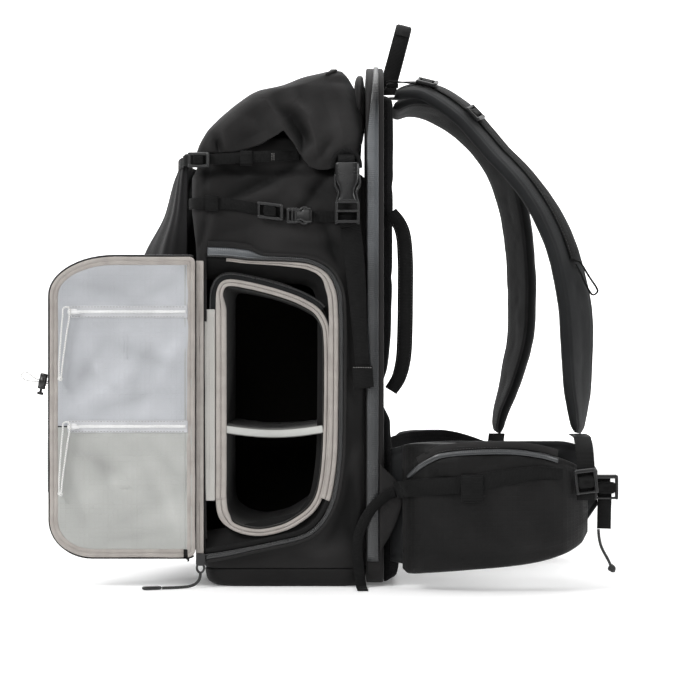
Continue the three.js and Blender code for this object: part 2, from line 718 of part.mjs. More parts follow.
function lockLoopRoute() {
  const rows = [
    [5.9, -1.1], [2, -1.1], [-2, -1.1], [-6, -1.2], [-10, -1.9], [-14, -2.3], [-17.5, -1.9],
    [-20.4, 0.3], [-21.2, 3.2], [-19.6, 5.6], [-16.6, 6.2], [-13, 4.6], [-10, 2.8], [-6, 1.4], [-2, 1.1], [2, 1.1],
    [5.9, 1.1],
  ];
  const angle = THREE.MathUtils.degToRad(lockTilt);
  return rows.map(([x, up]) => {
    const run = x < -lockRadius ? (x * loopReach) / 21.2 : x;
    return V(lockX + run * Math.cos(angle) + up * Math.sin(angle), lockY, lockZ - run * Math.sin(angle) + up * Math.cos(angle));
  });
}

// Sizes that the straps on the bag's side share
const strapY = nearY - sideGap;
const buckleY = strapY - webbingThick - sideGap;

function ladderShape(width, height, slotHeight) {
  const shape = roundedShape(-width / 2, -height / 2, width / 2, height / 2, evenCorners(2.5));
  const bar = (width - 7) / 2;
  for (const side of [-1, 1]) {
    const middle = side * (bar / 2 + 1.2);
    shape.holes.push(roundedShape(middle - bar / 2 + 0.8, -slotHeight / 2, middle + bar / 2 - 0.8,
      slotHeight / 2, evenCorners(0.8), new THREE.Path()));
  }
  return shape;
}

function ladderLock(x, z, width, height, y, slotHeight) {
  return sidePlate(ladderShape(width, height, slotHeight), 0, -buckleThick, 1).translate(x, y, z);
}

// A ladder lock that lies with its face along a given normal, its length along the run
function lockOn(at, along, face, width, height, slotHeight) {
  const lock = sidePlate(ladderShape(width, height, slotHeight), 0, -buckleThick, 1);
  const across = new THREE.Vector3().crossVectors(along, face).normalize();
  const run = new THREE.Vector3().crossVectors(face, across).normalize();
  const turn = new THREE.Matrix4().makeBasis(run, face.clone().negate(), across);
  return facingOut(lock.applyMatrix4(turn).translate(at.x, at.y, at.z));
}

function sideBuckle(width, length, waist, slot) {
  const [w, l] = [width / 2, length / 2];
  const shape = new THREE.Shape();
  shape.moveTo(-w + 1.5, -l);
  shape.lineTo(w - 1.5, -l);
  shape.lineTo(w, -l + 1.5);
  shape.lineTo(w, -l * 0.2);
  shape.lineTo(waist / 2, l * 0.22);
  shape.lineTo(w * 0.98, l * 0.5);
  shape.lineTo(w, l - 1.5);
  shape.lineTo(w - 1.5, l);
  shape.lineTo(-w + 1.5, l);
  shape.lineTo(-w, l - 1.5);
  shape.lineTo(-w * 0.98, l * 0.5);
  shape.lineTo(-waist / 2, l * 0.22);
  shape.lineTo(-w, -l * 0.2);
  shape.lineTo(-w, -l + 1.5);
  const hole = (low) => roundedShape(-slot / 2, low, slot / 2, low + 3.4, evenCorners(0.8), new THREE.Path());
  shape.holes.push(hole(-l + 2.4), hole(l - 5.8));
  return sidePlate(shape, 0, -buckleThick * 1.6, 1);
}

const sideRun = (rows, face = sideFace) => rows.map(([x, y, z]) => ({ at: V(x, y, z), face }));

// The pocket's face at a height, a little outside it, from the near side (-1) to the far side (1)
function pocketFace(z, share, off) {
  const row = { up: (z - pocketLowZ) / pocketHeight };
  const half = (between(pocketSections, 'up', 'half', row.up) * pocketWidth) / 2;
  const reach = between(pocketSections, 'up', 'reach', row.up) * pocketReach + pocketWall;
  const angle = share * THREE.MathUtils.degToRad(78);
  return {
    at: V(pocketBackX() - (reach * 1.06 + off) * Math.cos(angle), (half * 1.06 + off) * Math.sin(angle), z),
    face: V(-Math.cos(angle) * half, Math.sin(angle) * reach, 0).normalize(),
  };
}

// Upper strap: from under the hood along the side, round the front pocket and back along the far side
function upperStrap() {
  const z = upperStrapZ;
  const half = -strapY;
  const side = [
    [hoodRearX - 65, half - 14, z + 6.5], [hoodRearX - 75, half - 11.5, z + 6], [hoodRearX - 91, half - 4, z + 5],
    [hoodRearX - 106, half, z + 4], [-bagDepth * 0.52, half, z + 1], [-bagDepth * 0.6, half, z],
  ];
  const corner = [[-bagDepth * 0.64, half - 3, -0.45], [-bagDepth * 0.67, half - 10, -0.8]];
  const near = [
    ...side.map(([x, y, up]) => ({ at: V(x, -y, up), face: sideFace })),
    ...corner.map(([x, y, lean]) => ({ at: V(x, -y, z), face: V(lean, -0.8, 0).normalize() })),
  ];
  const front = [-1, -0.75, -0.5, -0.25, 0, 0.25, 0.5, 0.75, 1].map((share) => {
    const { at, face } = pocketFace(z - upperStrapWidth / 2, share, 1.5);
    return { at: at.setZ(z), face };
  });
  const far = near.map(({ at, face }) => ({ at: V(at.x, -at.y, at.z), face: V(face.x, -face.y, 0) })).reverse();
  return strip([...near, ...front, ...far], upperStrapWidth, webbingThick);
}

const upperStrapZ = 463.5;
const lowerStrapZ = 417;
const lowerStrapY = 0.994 * nearY - sideGap;
const lowerBuckleY = lowerStrapY - webbingThick - sideGap;

// Lower strap: from the bag's front corner along the side to the big buckle
function lowerStrap() {
  const front = bagRearX - bagDepth;
  const corner = 1.66 * bagCorner;
  const arc = [68, 45, 22].map((degrees) => {
    const angle = THREE.MathUtils.degToRad(degrees);
    return {
      at: V(front + corner - (corner + 1) * Math.sin(angle), lowerStrapY + corner - corner * Math.cos(angle), lowerStrapZ),
      face: V(-Math.sin(angle), -Math.cos(angle), 0),
    };
  });
  const run = sideRun([
    [front + corner, lowerStrapY, lowerStrapZ], [-72, lowerStrapY, lowerStrapZ - 2],
    [-35, lowerStrapY, lowerStrapZ - 9], [-4, lowerStrapY, lowerStrapZ - 14], [37, lowerStrapY, lowerStrapZ - 15],
  ]);
  return strip([...arc, ...run], lowerStrapWidth, webbingThick);
}

// Rolled top's strap: an arch tab on the hood, the big buckle and the webbing below it
const topStrapX = 47;
const topBuckleLength = 66;
const topBuckleLowZ = 394.5;
const topStrapY = strapY - bandThick - 1;

function topStrapTab() {
  const [w, low, high] = [15, topBuckleLowZ + topBuckleLength - 8, hoodRimZ + 24];
  const shape = new THREE.Shape();
  shape.moveTo(topStrapX - w, low);
  shape.lineTo(topStrapX + w, low);
  shape.lineTo(topStrapX + w, high - w);
  shape.absellipse(topStrapX, high - w, w, w, 0, Math.PI, false, 0);
  return sidePlate(shape, strapY, topStrapY - webbingThick);
}

function topStrap() {
  const out = topStrapY;
  return strip(sideRun([
    [topStrapX + 1, out, topBuckleLowZ + 14], [topStrapX + 4, out, 392], [topStrapX + 6, out, 380],
    [topStrapX + 11, out, 330], [topStrapX + 14, out, 285], [topStrapX + 17.5, out, 239],
    [topStrapX + 18, out, 238], [topStrapX + 20, out, 216],
  ]), topStrapWidth, webbingThick, false, (share) => (share < 0.8 ? 1 - share * 0.2 : 1.1));
}

// Haul loop on the back panel's top
function haulLoop() {
  const foot = rearHeight - 14;
  const lean = 16;
  const legX = rearFrontX + rearDepth + haulWidth / 2 + seamGap;
  const rows = Array.from({ length: 13 }, (_, i) => {
    const angle = (i / 12) * Math.PI;
    const up = Math.sin(angle) ** 0.75;
    const side = -Math.sign(Math.cos(angle)) * Math.abs(Math.cos(angle)) ** 0.55;
    return {
      at: V(legX + lean * up, (side * haulSpan) / 2, foot + 12 + (haulRise - 12) * up),
      face: V(0.25 * up, side, up).normalize(),
    };
  });
  const leg = (side) => ({ at: V(legX, (side * haulSpan) / 2, foot), face: V(0, side, 0) });
  return strip([leg(-1), ...rows, leg(1)], haulWidth, webbingThick);
}

// Side handle at the back panel's near edge
function sideHandle() {
  const y = -backPadWidth / 2 - 5;
  const root = rearFrontX + rearDepth;
  return strip(sideRun([
    [root + 8, y, 409], [root + 17, y - 1, 397], [root + 22, y - 2, 382], [root + 24, y - 2, 355], [root + 24, y - 2, 320],
    [root + 23.5, y - 2, 280], [root + 22, y - 2, 250], [root + 17, y - 1, 228], [root + 8, y, 213],
  ]), handleWidth, webbingThick);
}

// Strap over the hip fin, down the bag's side, ending in a loop that lies on the ground
function tripodStrap() {
  const out = strapY;
  const run = sideRun([
    [100, out, 103.5], [92, out, 101], [84, out, 95], [75, out, 86], [66, out, 71.5], [60.5, out, 56],
    [59, out, 39], [60.5, out, 20], [62, out, 10],
  ]);
  const ground = [
    { at: V(62.8, out - 1, 3.6), face: V(0, -0.85, 0.5).normalize() },
    { at: V(63.2, out - 4, 1), face: V(0, -0.4, 0.9).normalize() },
    { at: V(63.6, out - 10, 0.5), face: V(0, 0, 1) },
    { at: V(64.6, out - 36, 0.5), face: V(0, 0, 1) },
  ];
  return strip([...run, ...ground], upperStrapWidth, webbingThick);
}

// Puller at the front corner's foot, its cord and the cord's end tab on the ground
const pullerX = -111;
const pullerY = nearY + hingeSink - bandThick - seamGap;

function basePuller() {
  const shape = roundedShape(pullerX - 5, 16, pullerX + 5, 37.5, evenCorners(3));
  shape.holes.push(roundedShape(pullerX - 2, 19, pullerX + 2, 24, evenCorners(1.5), new THREE.Path()));
  return sidePlate(shape, pullerY, pullerY - 2.4, 2);
}

// The cord's route, laid by hand
const baseCordRoute = [
  [-111, -153.8, 15.6], [-111.3, -153.9, 12.6], [-112.2, -154.3, 9.4], [-114.2, -155, 6.4], [-117.4, -156.4, 4],
  [-121.8, -158.6, 2.5], [-127.4, -161.2, 2], [-132.6, -164, 1.9], [-138.4, -166.4, 1.9], [-144.6, -168.2, 1.9],
  [-151, -169.4, 1.9],
].map((point) => V(...point));

function baseCordTab() {
  const shape = roundedShape(0, -5, 21, 5, evenCorners(2.5));
  const tab = new THREE.ExtrudeGeometry(shape, { depth: 4, bevelEnabled: false, curveSegments: 2 });
  tab.rotateZ(Math.PI + 0.18);
  return facingOut(tab.translate(-151.6, -169.5, 0.3));
}

// Shoulder straps: reach and height as shares, the side shift in shares of the spread, tilt in degrees
const nearStrapRows = [
  { reach: 0, height: 0.985, side: 0.94, tilt: 6, width: 0.86 },
  { reach: 0.06, height: 1, side: 0.96, tilt: 12, width: 0.9 },
  { reach: 0.15, height: 1.003, side: 1, tilt: 18, width: 0.95 },
  { reach: 0.256, height: 0.981, side: 1.04, tilt: 24, width: 1 },
  { reach: 0.4, height: 0.937, side: 1.1, tilt: 26, width: 1 },
  { reach: 0.507, height: 0.885, side: 1.14, tilt: 26, width: 1 },
  { reach: 0.607, height: 0.83, side: 1.2, tilt: 26, width: 1 },
  { reach: 0.707, height: 0.775, side: 1.26, tilt: 26, width: 1 },
  { reach: 0.79, height: 0.716, side: 1.32, tilt: 26, width: 0.98 },
  { reach: 0.858, height: 0.632, side: 1.4, tilt: 27, width: 0.96 },
  { reach: 0.929, height: 0.527, side: 1.48, tilt: 28, width: 0.96 },
  { reach: 0.979, height: 0.393, side: 1.56, tilt: 30, width: 0.97 },
  { reach: 0.996, height: 0.289, side: 1.62, tilt: 30, width: 0.97 },
  { reach: 0.996, height: 0.143, side: 1.7, tilt: 26, width: 0.9 },
  { reach: 0.995, height: 0.04, side: 1.74, tilt: 20, width: 0.7 },
  { reach: 0.995, height: 0, side: 1.76, tilt: 18, width: 0.5 },
];
const farStrapRows = [
  { reach: 0, height: 0.96, side: 0.94, tilt: 6, width: 0.86 },
  { reach: 0.06, height: 0.965, side: 0.96, tilt: 10, width: 0.9 },
  { reach: 0.14, height: 0.965, side: 1, tilt: 14, width: 0.95 },
  { reach: 0.25, height: 0.93, side: 1.04, tilt: 20, width: 1 },
  { reach: 0.37, height: 0.872, side: 1.1, tilt: 22, width: 1 },
  { reach: 0.48, height: 0.8, side: 1.16, tilt: 24, width: 1 },
  { reach: 0.58, height: 0.715, side: 1.24, tilt: 24, width: 1 },
  { reach: 0.665, height: 0.61, side: 1.32, tilt: 24, width: 0.96 },
  { reach: 0.73, height: 0.5, side: 1.4, tilt: 24, width: 0.94 },
  { reach: 0.765, height: 0.39, side: 1.48, tilt: 24, width: 0.92 },
  { reach: 0.765, height: 0.275, side: 1.54, tilt: 22, width: 0.9 },
  { reach: 0.71, height: 0.145, side: 1.6, tilt: 18, width: 0.8 },
  { reach: 0.655, height: 0.05, side: 1.66, tilt: 14, width: 0.62 },
  { reach: 0.63, height: -0.02, side: 1.7, tilt: 12, width: 0.46 },
];
const strapRootX = () => rearFrontX + rearDepth + backPadThick + seamGap + 2.2;

function strapStations(rows, side) {
  const points = rows.map((row) => V(strapRootX() + row.reach * strapReach, side * row.side * strapSpread,
    strapEndZ + row.height * (strapTopZ - strapEndZ)));
  return points.map((at, i) => {
    const along = points[Math.min(i + 1, points.length - 1)].clone().sub(points[Math.max(i - 1, 0)]).normalize();
    const lift = new THREE.Vector3().crossVectors(along, V(0, 1, 0)).normalize();
    const tilt = THREE.MathUtils.degToRad(rows[i].tilt);
    const face = lift.multiplyScalar(Math.cos(tilt)).add(V(0, side * Math.sin(tilt), 0));
    return { at, face, width: strapWidth * rows[i].width, thick: strapThick };
  });
}

const shoulderStrap = (rows, side) => padBand(strapStations(rows, side));

// The strap's outer face at one of its rows, lifted off it
function onStrap(rows, side, i, lift) {
  const stations = strapStations(rows, side);
  const along = stations[i + 1].at.clone().sub(stations[i - 1].at).normalize();
  const across = new THREE.Vector3().crossVectors(along, stations[i].face).normalize();
  const face = new THREE.Vector3().crossVectors(across, along).normalize();
  return { at: stations[i].at.clone().addScaledVector(face, strapThick / 2 + lift), along, face };
}

// Hip wings: along as a share of the reach, side as a share of the spread, low and high in shares of the lumbar height
const wingRows = [
  { along: 0.03, side: 1.02, low: 0.14, high: 0.78 },
  { along: 0.16, side: 1.17, low: 0.12, high: 0.82 },
  { along: 0.36, side: 1.23, low: 0.13, high: 0.83 },
  { along: 0.6, side: 1.25, low: 0.17, high: 0.83 },
  { along: 0.8, side: 1.22, low: 0.24, high: 0.83 },
  { along: 0.92, side: 1.16, low: 0.34, high: 0.8 },
  { along: 1, side: 1.09, low: 0.46, high: 0.66 },
];
const wingRootX = () => rearFrontX + rearDepth + seamGap;
const wingX = (along) => wingRootX() + along * hipReach;
const wingY = (x) => -hipSpread * between(wingRows, 'along', 'side', (x - wingRootX()) / hipReach);

// A ring across the wing's run, between two Y values and two heights
function crossRing(x, inY, outY, low, high, round = 0.35) {
  const steps = 12;
  return Array.from({ length: steps }, (_, k) => {
    const angle = ((k + 0.5) / steps) * Math.PI * 2;
    const up = Math.sign(Math.sin(angle)) * Math.abs(Math.sin(angle)) ** round;
    const out = Math.sign(Math.cos(angle)) * Math.abs(Math.cos(angle)) ** round;
    return V(x, (inY + outY) / 2 + (out * (inY - outY)) / 2, (low + high) / 2 + (up * (high - low)) / 2);
  });
}

function hipWing() {
  return loft(wingRows.map((row) => {
    const x = wingX(row.along);
    return crossRing(x, wingY(x) + hipThick / 2, wingY(x) - hipThick / 2, row.low * lumbarTopZ, row.high * lumbarTopZ);
  }));
}

const hipPocketRows = [
  { along: 0.085, low: 0.11, high: 0.8, bulge: 0.18 },
  { along: 0.11, low: 0.09, high: 0.815, bulge: 0.55 },
  { along: 0.2, low: 0.1, high: 0.825, bulge: 0.9 },
  { along: 0.36, low: 0.118, high: 0.825, bulge: 1 },
  { along: 0.52, low: 0.135, high: 0.81, bulge: 1 },
  { along: 0.68, low: 0.16, high: 0.785, bulge: 1 },
  { along: 0.81, low: 0.2, high: 0.74, bulge: 0.86 },
  { along: 0.91, low: 0.26, high: 0.68, bulge: 0.5 },
  { along: 0.945, low: 0.32, high: 0.6, bulge: 0.2 },
];
const pocketInY = (x) => Math.min(wingY(x), wingY(x + 6), wingY(x - 6)) - hipThick / 2 - 1;
const pocketOutY = (x) => pocketInY(x)
  - hipPocketBulge * between(hipPocketRows, 'along', 'bulge', (x - wingRootX()) / hipReach);

function hipPocket() {
  return loft(hipPocketRows.map((row) => {
    const x = wingX(row.along);
    return crossRing(x, pocketInY(x), pocketOutY(x), row.low * lumbarTopZ, row.high * lumbarTopZ, 0.45);
  }));
}

// The strap over the pocket: stations on the pocket's own sections, so that it lies along them
function hipStrap() {
  const heights = [0.56, 0.57, 0.585, 0.6, 0.635, 0.665, 0.66];
  const onPocket = hipPocketRows.slice(0, 7).map((row, i) => {
    const x = wingX(row.along);
    return { at: V(x - (i === 0 ? 1 : 0), pocketOutY(x) - (i < 2 ? 5.4 : 0.5), heights[i] * lumbarTopZ), face: sideFace };
  });
  const root = { at: V(101.5, strapY, 0.55 * lumbarTopZ), face: sideFace };
  return strip([root, ...onPocket], hipStrapWidth, webbingThick, false, (share) => 1 - 0.35 * Math.max(0, share - 0.75) * 4);
}

function backPad() {
  const rows = [
    { up: 0, thick: 0.1 }, { up: 0.035, thick: 0.4 }, { up: 0.1, thick: 0.62 }, { up: 0.17, thick: 0.78 },
    { up: 0.35, thick: 0.88 }, { up: 0.6, thick: 0.95 }, { up: 0.88, thick: 1 }, { up: 0.96, thick: 0.98 },
    { up: 0.99, thick: 0.8 }, { up: 1, thick: 0.3 },
  ];
  const inX = rearFrontX + rearDepth + seamGap;
  return loft(rows.map((row) => {
    const z = backPadLowZ + row.up * (backPadTopZ - backPadLowZ);
    const half = (backPadWidth / 2) * (row.up === 0 || row.up === 1 ? 0.94 : 1);
    const out = inX + row.thick * backPadThick;
    const channel = inX + row.thick * backPadThick * 0.45;
    return [V(inX, -half, z), V(out, -half + 4, z), V(out, -24, z), V(channel, -14, z), V(channel, 14, z),
      V(out, 24, z), V(out, half - 4, z), V(inX, half, z)];
  }));
}

function lumbarPad() {
  const rows = [
    { up: 0.02, thick: 0.4 }, { up: 0.06, thick: 1.6 }, { up: 0.14, thick: 1.9 }, { up: 0.3, thick: 1.3 },
    { up: 0.75, thick: 1 }, { up: 0.93, thick: 0.8 }, { up: 1, thick: 0.2 },
  ];
  const inX = rearFrontX + rearDepth + seamGap;
  return loft(rows.map((row) => {
    const z = row.up * lumbarTopZ;
    const half = -wingY(wingX(wingRows[0].along)) - hipThick / 2 - seamGap;
    const out = inX + row.thick * lumbarThick;
    return [V(inX, -half, z), V(out - 2, -half + 2, z), V(out, -half / 3, z), V(out, half / 3, z),
      V(out - 2, half - 2, z), V(inX, half, z)];
  }));
}

// Load lifter: webbing from the back panel's top to the shoulder strap, with its lock
const lifterLift = 0.8;

function liftStations(rows, side) {
  const root = rearFrontX + rearDepth + seamGap;
  const first = onStrap(rows, side, 1, lifterLift + 0.8);
  return [
    { at: V(root + 0.45, first.at.y, Math.max(first.at.z - 6, backPadTopZ + 4)), face: V(0.95, 0, 0.3).normalize() },
    { at: V(root + 3, first.at.y, first.at.z - 2), face: V(0.6, 0, 0.8).normalize() },
    { at: V(root + 9, first.at.y, first.at.z + 0.6), face: V(0.1, 0, 1).normalize() },
    first, onStrap(rows, side, 2, lifterLift), onStrap(rows, side, 3, lifterLift),
  ];
}

const lifter = (rows, side) => strip(liftStations(rows, side), liftWidth, webbingThick);

function lifterLock() {
  const { at, along, face } = onStrap(nearStrapRows, -1, 1, lifterLift + 1.8 + webbingThick);
  const next = onStrap(nearStrapRows, -1, 2, lifterLift + 1.8 + webbingThick);
  const run = next.at.clone().sub(at).normalize();
  const level = new THREE.Vector3().crossVectors(new THREE.Vector3().crossVectors(run, face), run).normalize();
  return lockOn(at.addScaledVector(run, 11), along.copy(run), level, 22, 21, liftWidth);
}

function sternumSlider() {
  const { at, along, face } = onStrap(nearStrapRows, -1, 3, lifterLift + 0.8 + webbingThick);
  return lockOn(at.clone().addScaledVector(along, 6), along, face, 17, 24, 15);
}

// Webbing below a padded strap, over the hip wing and down its outside, with a ladder lock
function strapWebbingNear() {
  const end = strapStations(nearStrapRows, -1).at(-1).at;
  const top = 0.83 * lumbarTopZ;
  const x = end.x;
  const outside = wingY(x) - hipThick / 2;
  const rows = [
    [end.y + 2, end.z - 2.3, -0.1, 1], [end.y - 14, end.z - 2.5, -0.1, 1], [end.y - 25, end.z - 2.8, -0.1, 1],
    [wingY(x) + 2, top + 3.4, -0.1, 1], [wingY(x) - 8, top + 1.5, -0.5, 0.9], [outside - 20, top - 9, -0.9, 0.5],
    [outside - 31, top - 26, -1, 0.1],
    [outside - 32, top - 42, -1, 0], [outside - 32, top - 62, -1, 0],
  ];
  return rows.map(([y, z, side, up]) => ({ at: V(x, y, z), face: V(0, side, up).normalize() }));
}

function strapLock() {
  const station = strapWebbingNear().at(-2);
  const at = station.at.clone().add(V(0, -webbingThick - 0.5, 0));
  return lockOn(at, V(0.12, 0, -1).normalize(), sideFace, 26, 24, 18);
}

function strapWebbingFar() {
  const end = strapStations(farStrapRows, 1).at(-1).at;
  const inside = -wingY(end.x) - hipThick / 2;
  return strip([
    { at: V(end.x, end.y + 2, end.z - 2.9), face: V(0, 1, 0.6).normalize() },
    { at: V(end.x, inside - 22, end.z - 20), face: V(0, 1, 0.8).normalize() },
    { at: V(end.x, inside - 3.5, end.z - 36), face: V(0, 1, 0.4).normalize() },
    { at: V(end.x, inside - 2.5, end.z - 62), face: V(0, 1, 0) },
  ], liftWidth * 1.3, webbingThick);
}

// Belt lock at the wing's tip, its webbing and the short cord below it
const beltX = () => wingX(1) + 5;
const beltY = () => wingY(wingX(0.955)) - hipThick / 2 - seamGap;

function beltWebbing() {
  const y = beltY();
  const across = strip(sideRun([[wingX(0.955), y, 109], [beltX() + 8, y, 109]]), 19, webbingThick);
  const down = strip(sideRun([[beltX() + 2, y, 112], [beltX() + 1, y, 64]]), 15, webbingThick);
  return join(across, down);
}

function hipCordRoute() {
  const y = beltY() - webbingThick / 2;
  return [[-5, 63.4], [-4.6, 58], [-3.8, 52], [-2, 45], [1, 38.5], [4.4, 32.4], [7.4, 26.4], [9.6, 20.6]]
    .map(([x, z]) => V(beltX() + x, y, z));
}

function hipCord() {
  const route = hipCordRoute();
  const knot = new THREE.SphereGeometry(cordThick * 1.3, 6, 4);
  knot.translate(route.at(-1).x, route.at(-1).y, route.at(-1).z);
  return join(tube(route, cordThick, 16), knot);
}

// Fin between the back panel's side and the hip wing's root
function fin() {
  const left = rearFrontX + 1 + rearZipWidth + 1;
  const shape = new THREE.Shape();
  shape.moveTo(left, 38);
  shape.lineTo(left + 14, 62);
  shape.lineTo(left + 24.2, 92);
  shape.lineTo(left + 21, 112);
  shape.lineTo(left, 134);
  return sidePlate(shape, -rearWidth / 2 - seamGap, -rearWidth / 2 - seamGap - 2);
}

// Bag
add('pack_shell', packShell(), 'cloth');
add('base_panel', basePanel(), 'cloth');
add('roll_top_hood', rollTopHood(), 'cloth');
add('front_pocket', frontPocket(), 'cloth');
add('rear_compartment', rearCompartment(), 'cloth');
add('rear_zip', rearZip(), 'zipper');

// Side opening
add('opening_zip', openingBand(-zipBand / 2, zipBand, nearY - sideGap), 'zipper');
add('opening_binding', openingBand(bindingWidth / 2 + seamGap, bindingWidth, nearY + clothWall), 'binding');
add('camera_cube', cameraCube(), 'pad');
add('hook_strip', sidePlate(roundedShape(openingFrontX + seamGap, hookStripLowZ, cubeFrontX - seamGap,
  hookStripLowZ + hookStripLength, evenCorners(1)), nearY + 2, nearY + 3.5), 'lowerLining');
add('door_hinge_strip', sidePlate(roundedShape(doorRightX + seamGap, doorLowZ + 2, doorRightX + seamGap + hingeWidth,
  doorLowZ + doorHeight - 4, evenCorners(1.5)), nearY + hingeSink, nearY + hingeSink - bandThick), 'binding');
add('cube_binding', sidePlate(frameShape(cubeShape(0), cubeShape(cubeBindingWidth, new THREE.Path())),
  cubeMouthY - seamGap, cubeMouthY - seamGap - bandThick), 'binding');
add('cube_divider', cubeDivider(), 'lowerLining');

// Door
add('door_panel', sidePlate(doorShape(0), doorOuterY, doorInnerY), 'cloth');
add('door_binding', doorBinding(), 'binding');
add('door_pocket_upper', lining({ low: lowerZipZ }), 'lining');
add('door_pocket_lower', lining({ top: lowerZipZ - seamGap }), 'lowerLining');
add('door_zip_upper', doorZip(upperZipZ), 'coil');
add('door_zip_lower', doorZip(lowerZipZ), 'coil');
add('door_zip_tape', doorZipTape(), 'webbing');
add('door_cord_upper', pullCordSolid(upperZipZ), 'cord');
add('door_cord_lower', pullCordSolid(lowerZipZ), 'cord');
add('cord_lock_barrel', lockBarrel(), 'plastic');
add('cord_lock_plunger', lockPlunger(), 'plastic');
add('cord_lock_loop', tube(lockLoopRoute(), loopCord, 22), 'cord');

// Bag straps
add('upper_strap', upperStrap(), 'webbing');
add('upper_strap_lock', ladderLock(-113, upperStrapZ, 23, 16, buckleY, upperStrapWidth), 'plastic');
add('lower_strap', lowerStrap(), 'webbing');
add('lower_strap_lock', ladderLock(-35, lowerStrapZ - 9, 28, 18, lowerBuckleY, lowerStrapWidth), 'plastic');
add('lower_strap_buckle', sideBuckle(16, 27, 9, 9).rotateY(Math.PI / 2)
  .translate(-3.5, lowerBuckleY, lowerStrapZ - 14), 'plastic');
add('top_strap_tab', topStrapTab(), 'webbing');
add('top_strap_buckle', sideBuckle(27, topBuckleLength, 13, 19)
  .translate(topStrapX + 1, topStrapY - webbingThick - sideGap, topBuckleLowZ + topBuckleLength / 2), 'plastic');
add('top_strap', topStrap(), 'webbing');
add('haul_loop', haulLoop(), 'webbing');
add('side_handle', sideHandle(), 'webbing');
add('tripod_strap', tripodStrap(), 'webbing');
add('base_puller', basePuller(), 'plastic');
add('base_cord', tube(baseCordRoute, cordThick, 18), 'webbing');
add('base_cord_tab', baseCordTab(), 'plastic');

// Harness
add('back_pad', backPad(), 'pad');
add('lumbar_pad', lumbarPad(), 'pad');
add('shoulder_strap_near', shoulderStrap(nearStrapRows, -1), 'pad');
add('shoulder_strap_far', shoulderStrap(farStrapRows, 1), 'pad');
add('hip_wing_near', hipWing(), 'pad');
add('hip_wing_far', mirrored(hipWing()), 'pad');
add('hip_pocket_near', hipPocket(), 'cloth');
add('hip_pocket_far', mirrored(hipPocket()), 'cloth');
add('hip_strap_near', hipStrap(), 'webbing');

add('load_lifter_near', lifter(nearStrapRows, -1), 'webbing');
add('load_lifter_far', lifter(farStrapRows, 1), 'webbing');
add('load_lifter_lock', lifterLock(), 'plastic');
add('sternum_slider', sternumSlider(), 'plastic');
add('strap_webbing_near', strip(strapWebbingNear(), 19, webbingThick), 'webbing');
add('strap_webbing_far', strapWebbingFar(), 'webbing');
add('strap_lock_near', strapLock(), 'plastic');
add('belt_lock', ladderLock(beltX() + 3, 109, 27, 27, beltY() - webbingThick - sideGap, 20), 'plastic');
add('belt_webbing', beltWebbing(), 'webbing');
add('hip_cord', hipCord(), 'webbing');
add('fin_panel_near', fin(), 'cloth');
add('fin_panel_far', mirrored(fin()), 'cloth');

export default part;
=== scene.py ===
import bpy
import math
import numpy as np
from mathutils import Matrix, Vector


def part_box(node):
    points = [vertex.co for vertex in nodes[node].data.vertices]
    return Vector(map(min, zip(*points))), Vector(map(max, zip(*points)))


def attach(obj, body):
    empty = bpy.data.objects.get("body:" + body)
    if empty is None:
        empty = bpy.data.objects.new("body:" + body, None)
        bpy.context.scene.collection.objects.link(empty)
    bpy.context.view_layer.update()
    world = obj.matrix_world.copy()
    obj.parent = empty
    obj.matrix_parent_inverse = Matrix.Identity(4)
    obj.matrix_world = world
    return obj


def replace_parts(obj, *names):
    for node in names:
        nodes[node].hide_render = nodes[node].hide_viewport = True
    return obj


# Camera backpack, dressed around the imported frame. Tables are in millimetres, the meshes in metres.
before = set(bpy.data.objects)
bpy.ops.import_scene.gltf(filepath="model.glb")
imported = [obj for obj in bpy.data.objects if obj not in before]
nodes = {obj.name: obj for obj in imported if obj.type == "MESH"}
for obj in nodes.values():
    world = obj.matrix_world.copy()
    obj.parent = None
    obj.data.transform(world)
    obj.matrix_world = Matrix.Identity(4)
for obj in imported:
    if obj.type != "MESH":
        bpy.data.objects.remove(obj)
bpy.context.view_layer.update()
mm = 0.001
nearSide = (0, -1, 0)
print("frame loaded with", len(nodes), "nodes")

# Camera at the photograph's angle, and soft studio light
cameraPlace = {"at": (0.051, -2.35, 0.2577), "halfWidth": 0.37975, "distance": 2.2}


def addCamera(place):
    # Level camera whose view angle is twice the arctangent of half width over distance
    data = bpy.data.cameras.new("camera")
    data.sensor_fit = "HORIZONTAL"
    data.angle = 2 * math.atan(place["halfWidth"] / place["distance"])
    camera = bpy.data.objects.new("camera", data)
    camera.location = place["at"]
    camera.rotation_euler = (math.pi / 2, 0, 0)
    bpy.context.scene.collection.objects.link(camera)
    bpy.context.scene.camera = camera


lampRows = [  # name, place, aim, size, power
    ("keyLamp", (-1.7, -1.5, 2.0), (0, 0, 0.3), 1.1, 48),
    ("sideLamp", (2.0, -1.3, 1.0), (0.05, 0, 0.3), 0.9, 17),
    ("topLamp", (0.1, 0.3, 2.5), (0, 0, 0.4), 1.8, 42),
    ("frontLamp", (-0.5, -2.9, 1.4), (0, 0, 0.25), 1.6, 16),
]


def addLamps(rows):
    # Square lamps turned to look at their aims
    for name, place, aim, size, power in rows:
        data = bpy.data.lights.new(name, "AREA")
        data.size, data.energy = size, power
        lamp = bpy.data.objects.new(name, data)
        lamp.location = place
        way = np.array(aim) - np.array(place)
        flat = math.hypot(way[0], way[1])
        lamp.rotation_euler = (math.pi / 2 + math.atan2(way[2], flat), 0, math.atan2(-way[0], way[1]))
        bpy.context.scene.collection.objects.link(lamp)


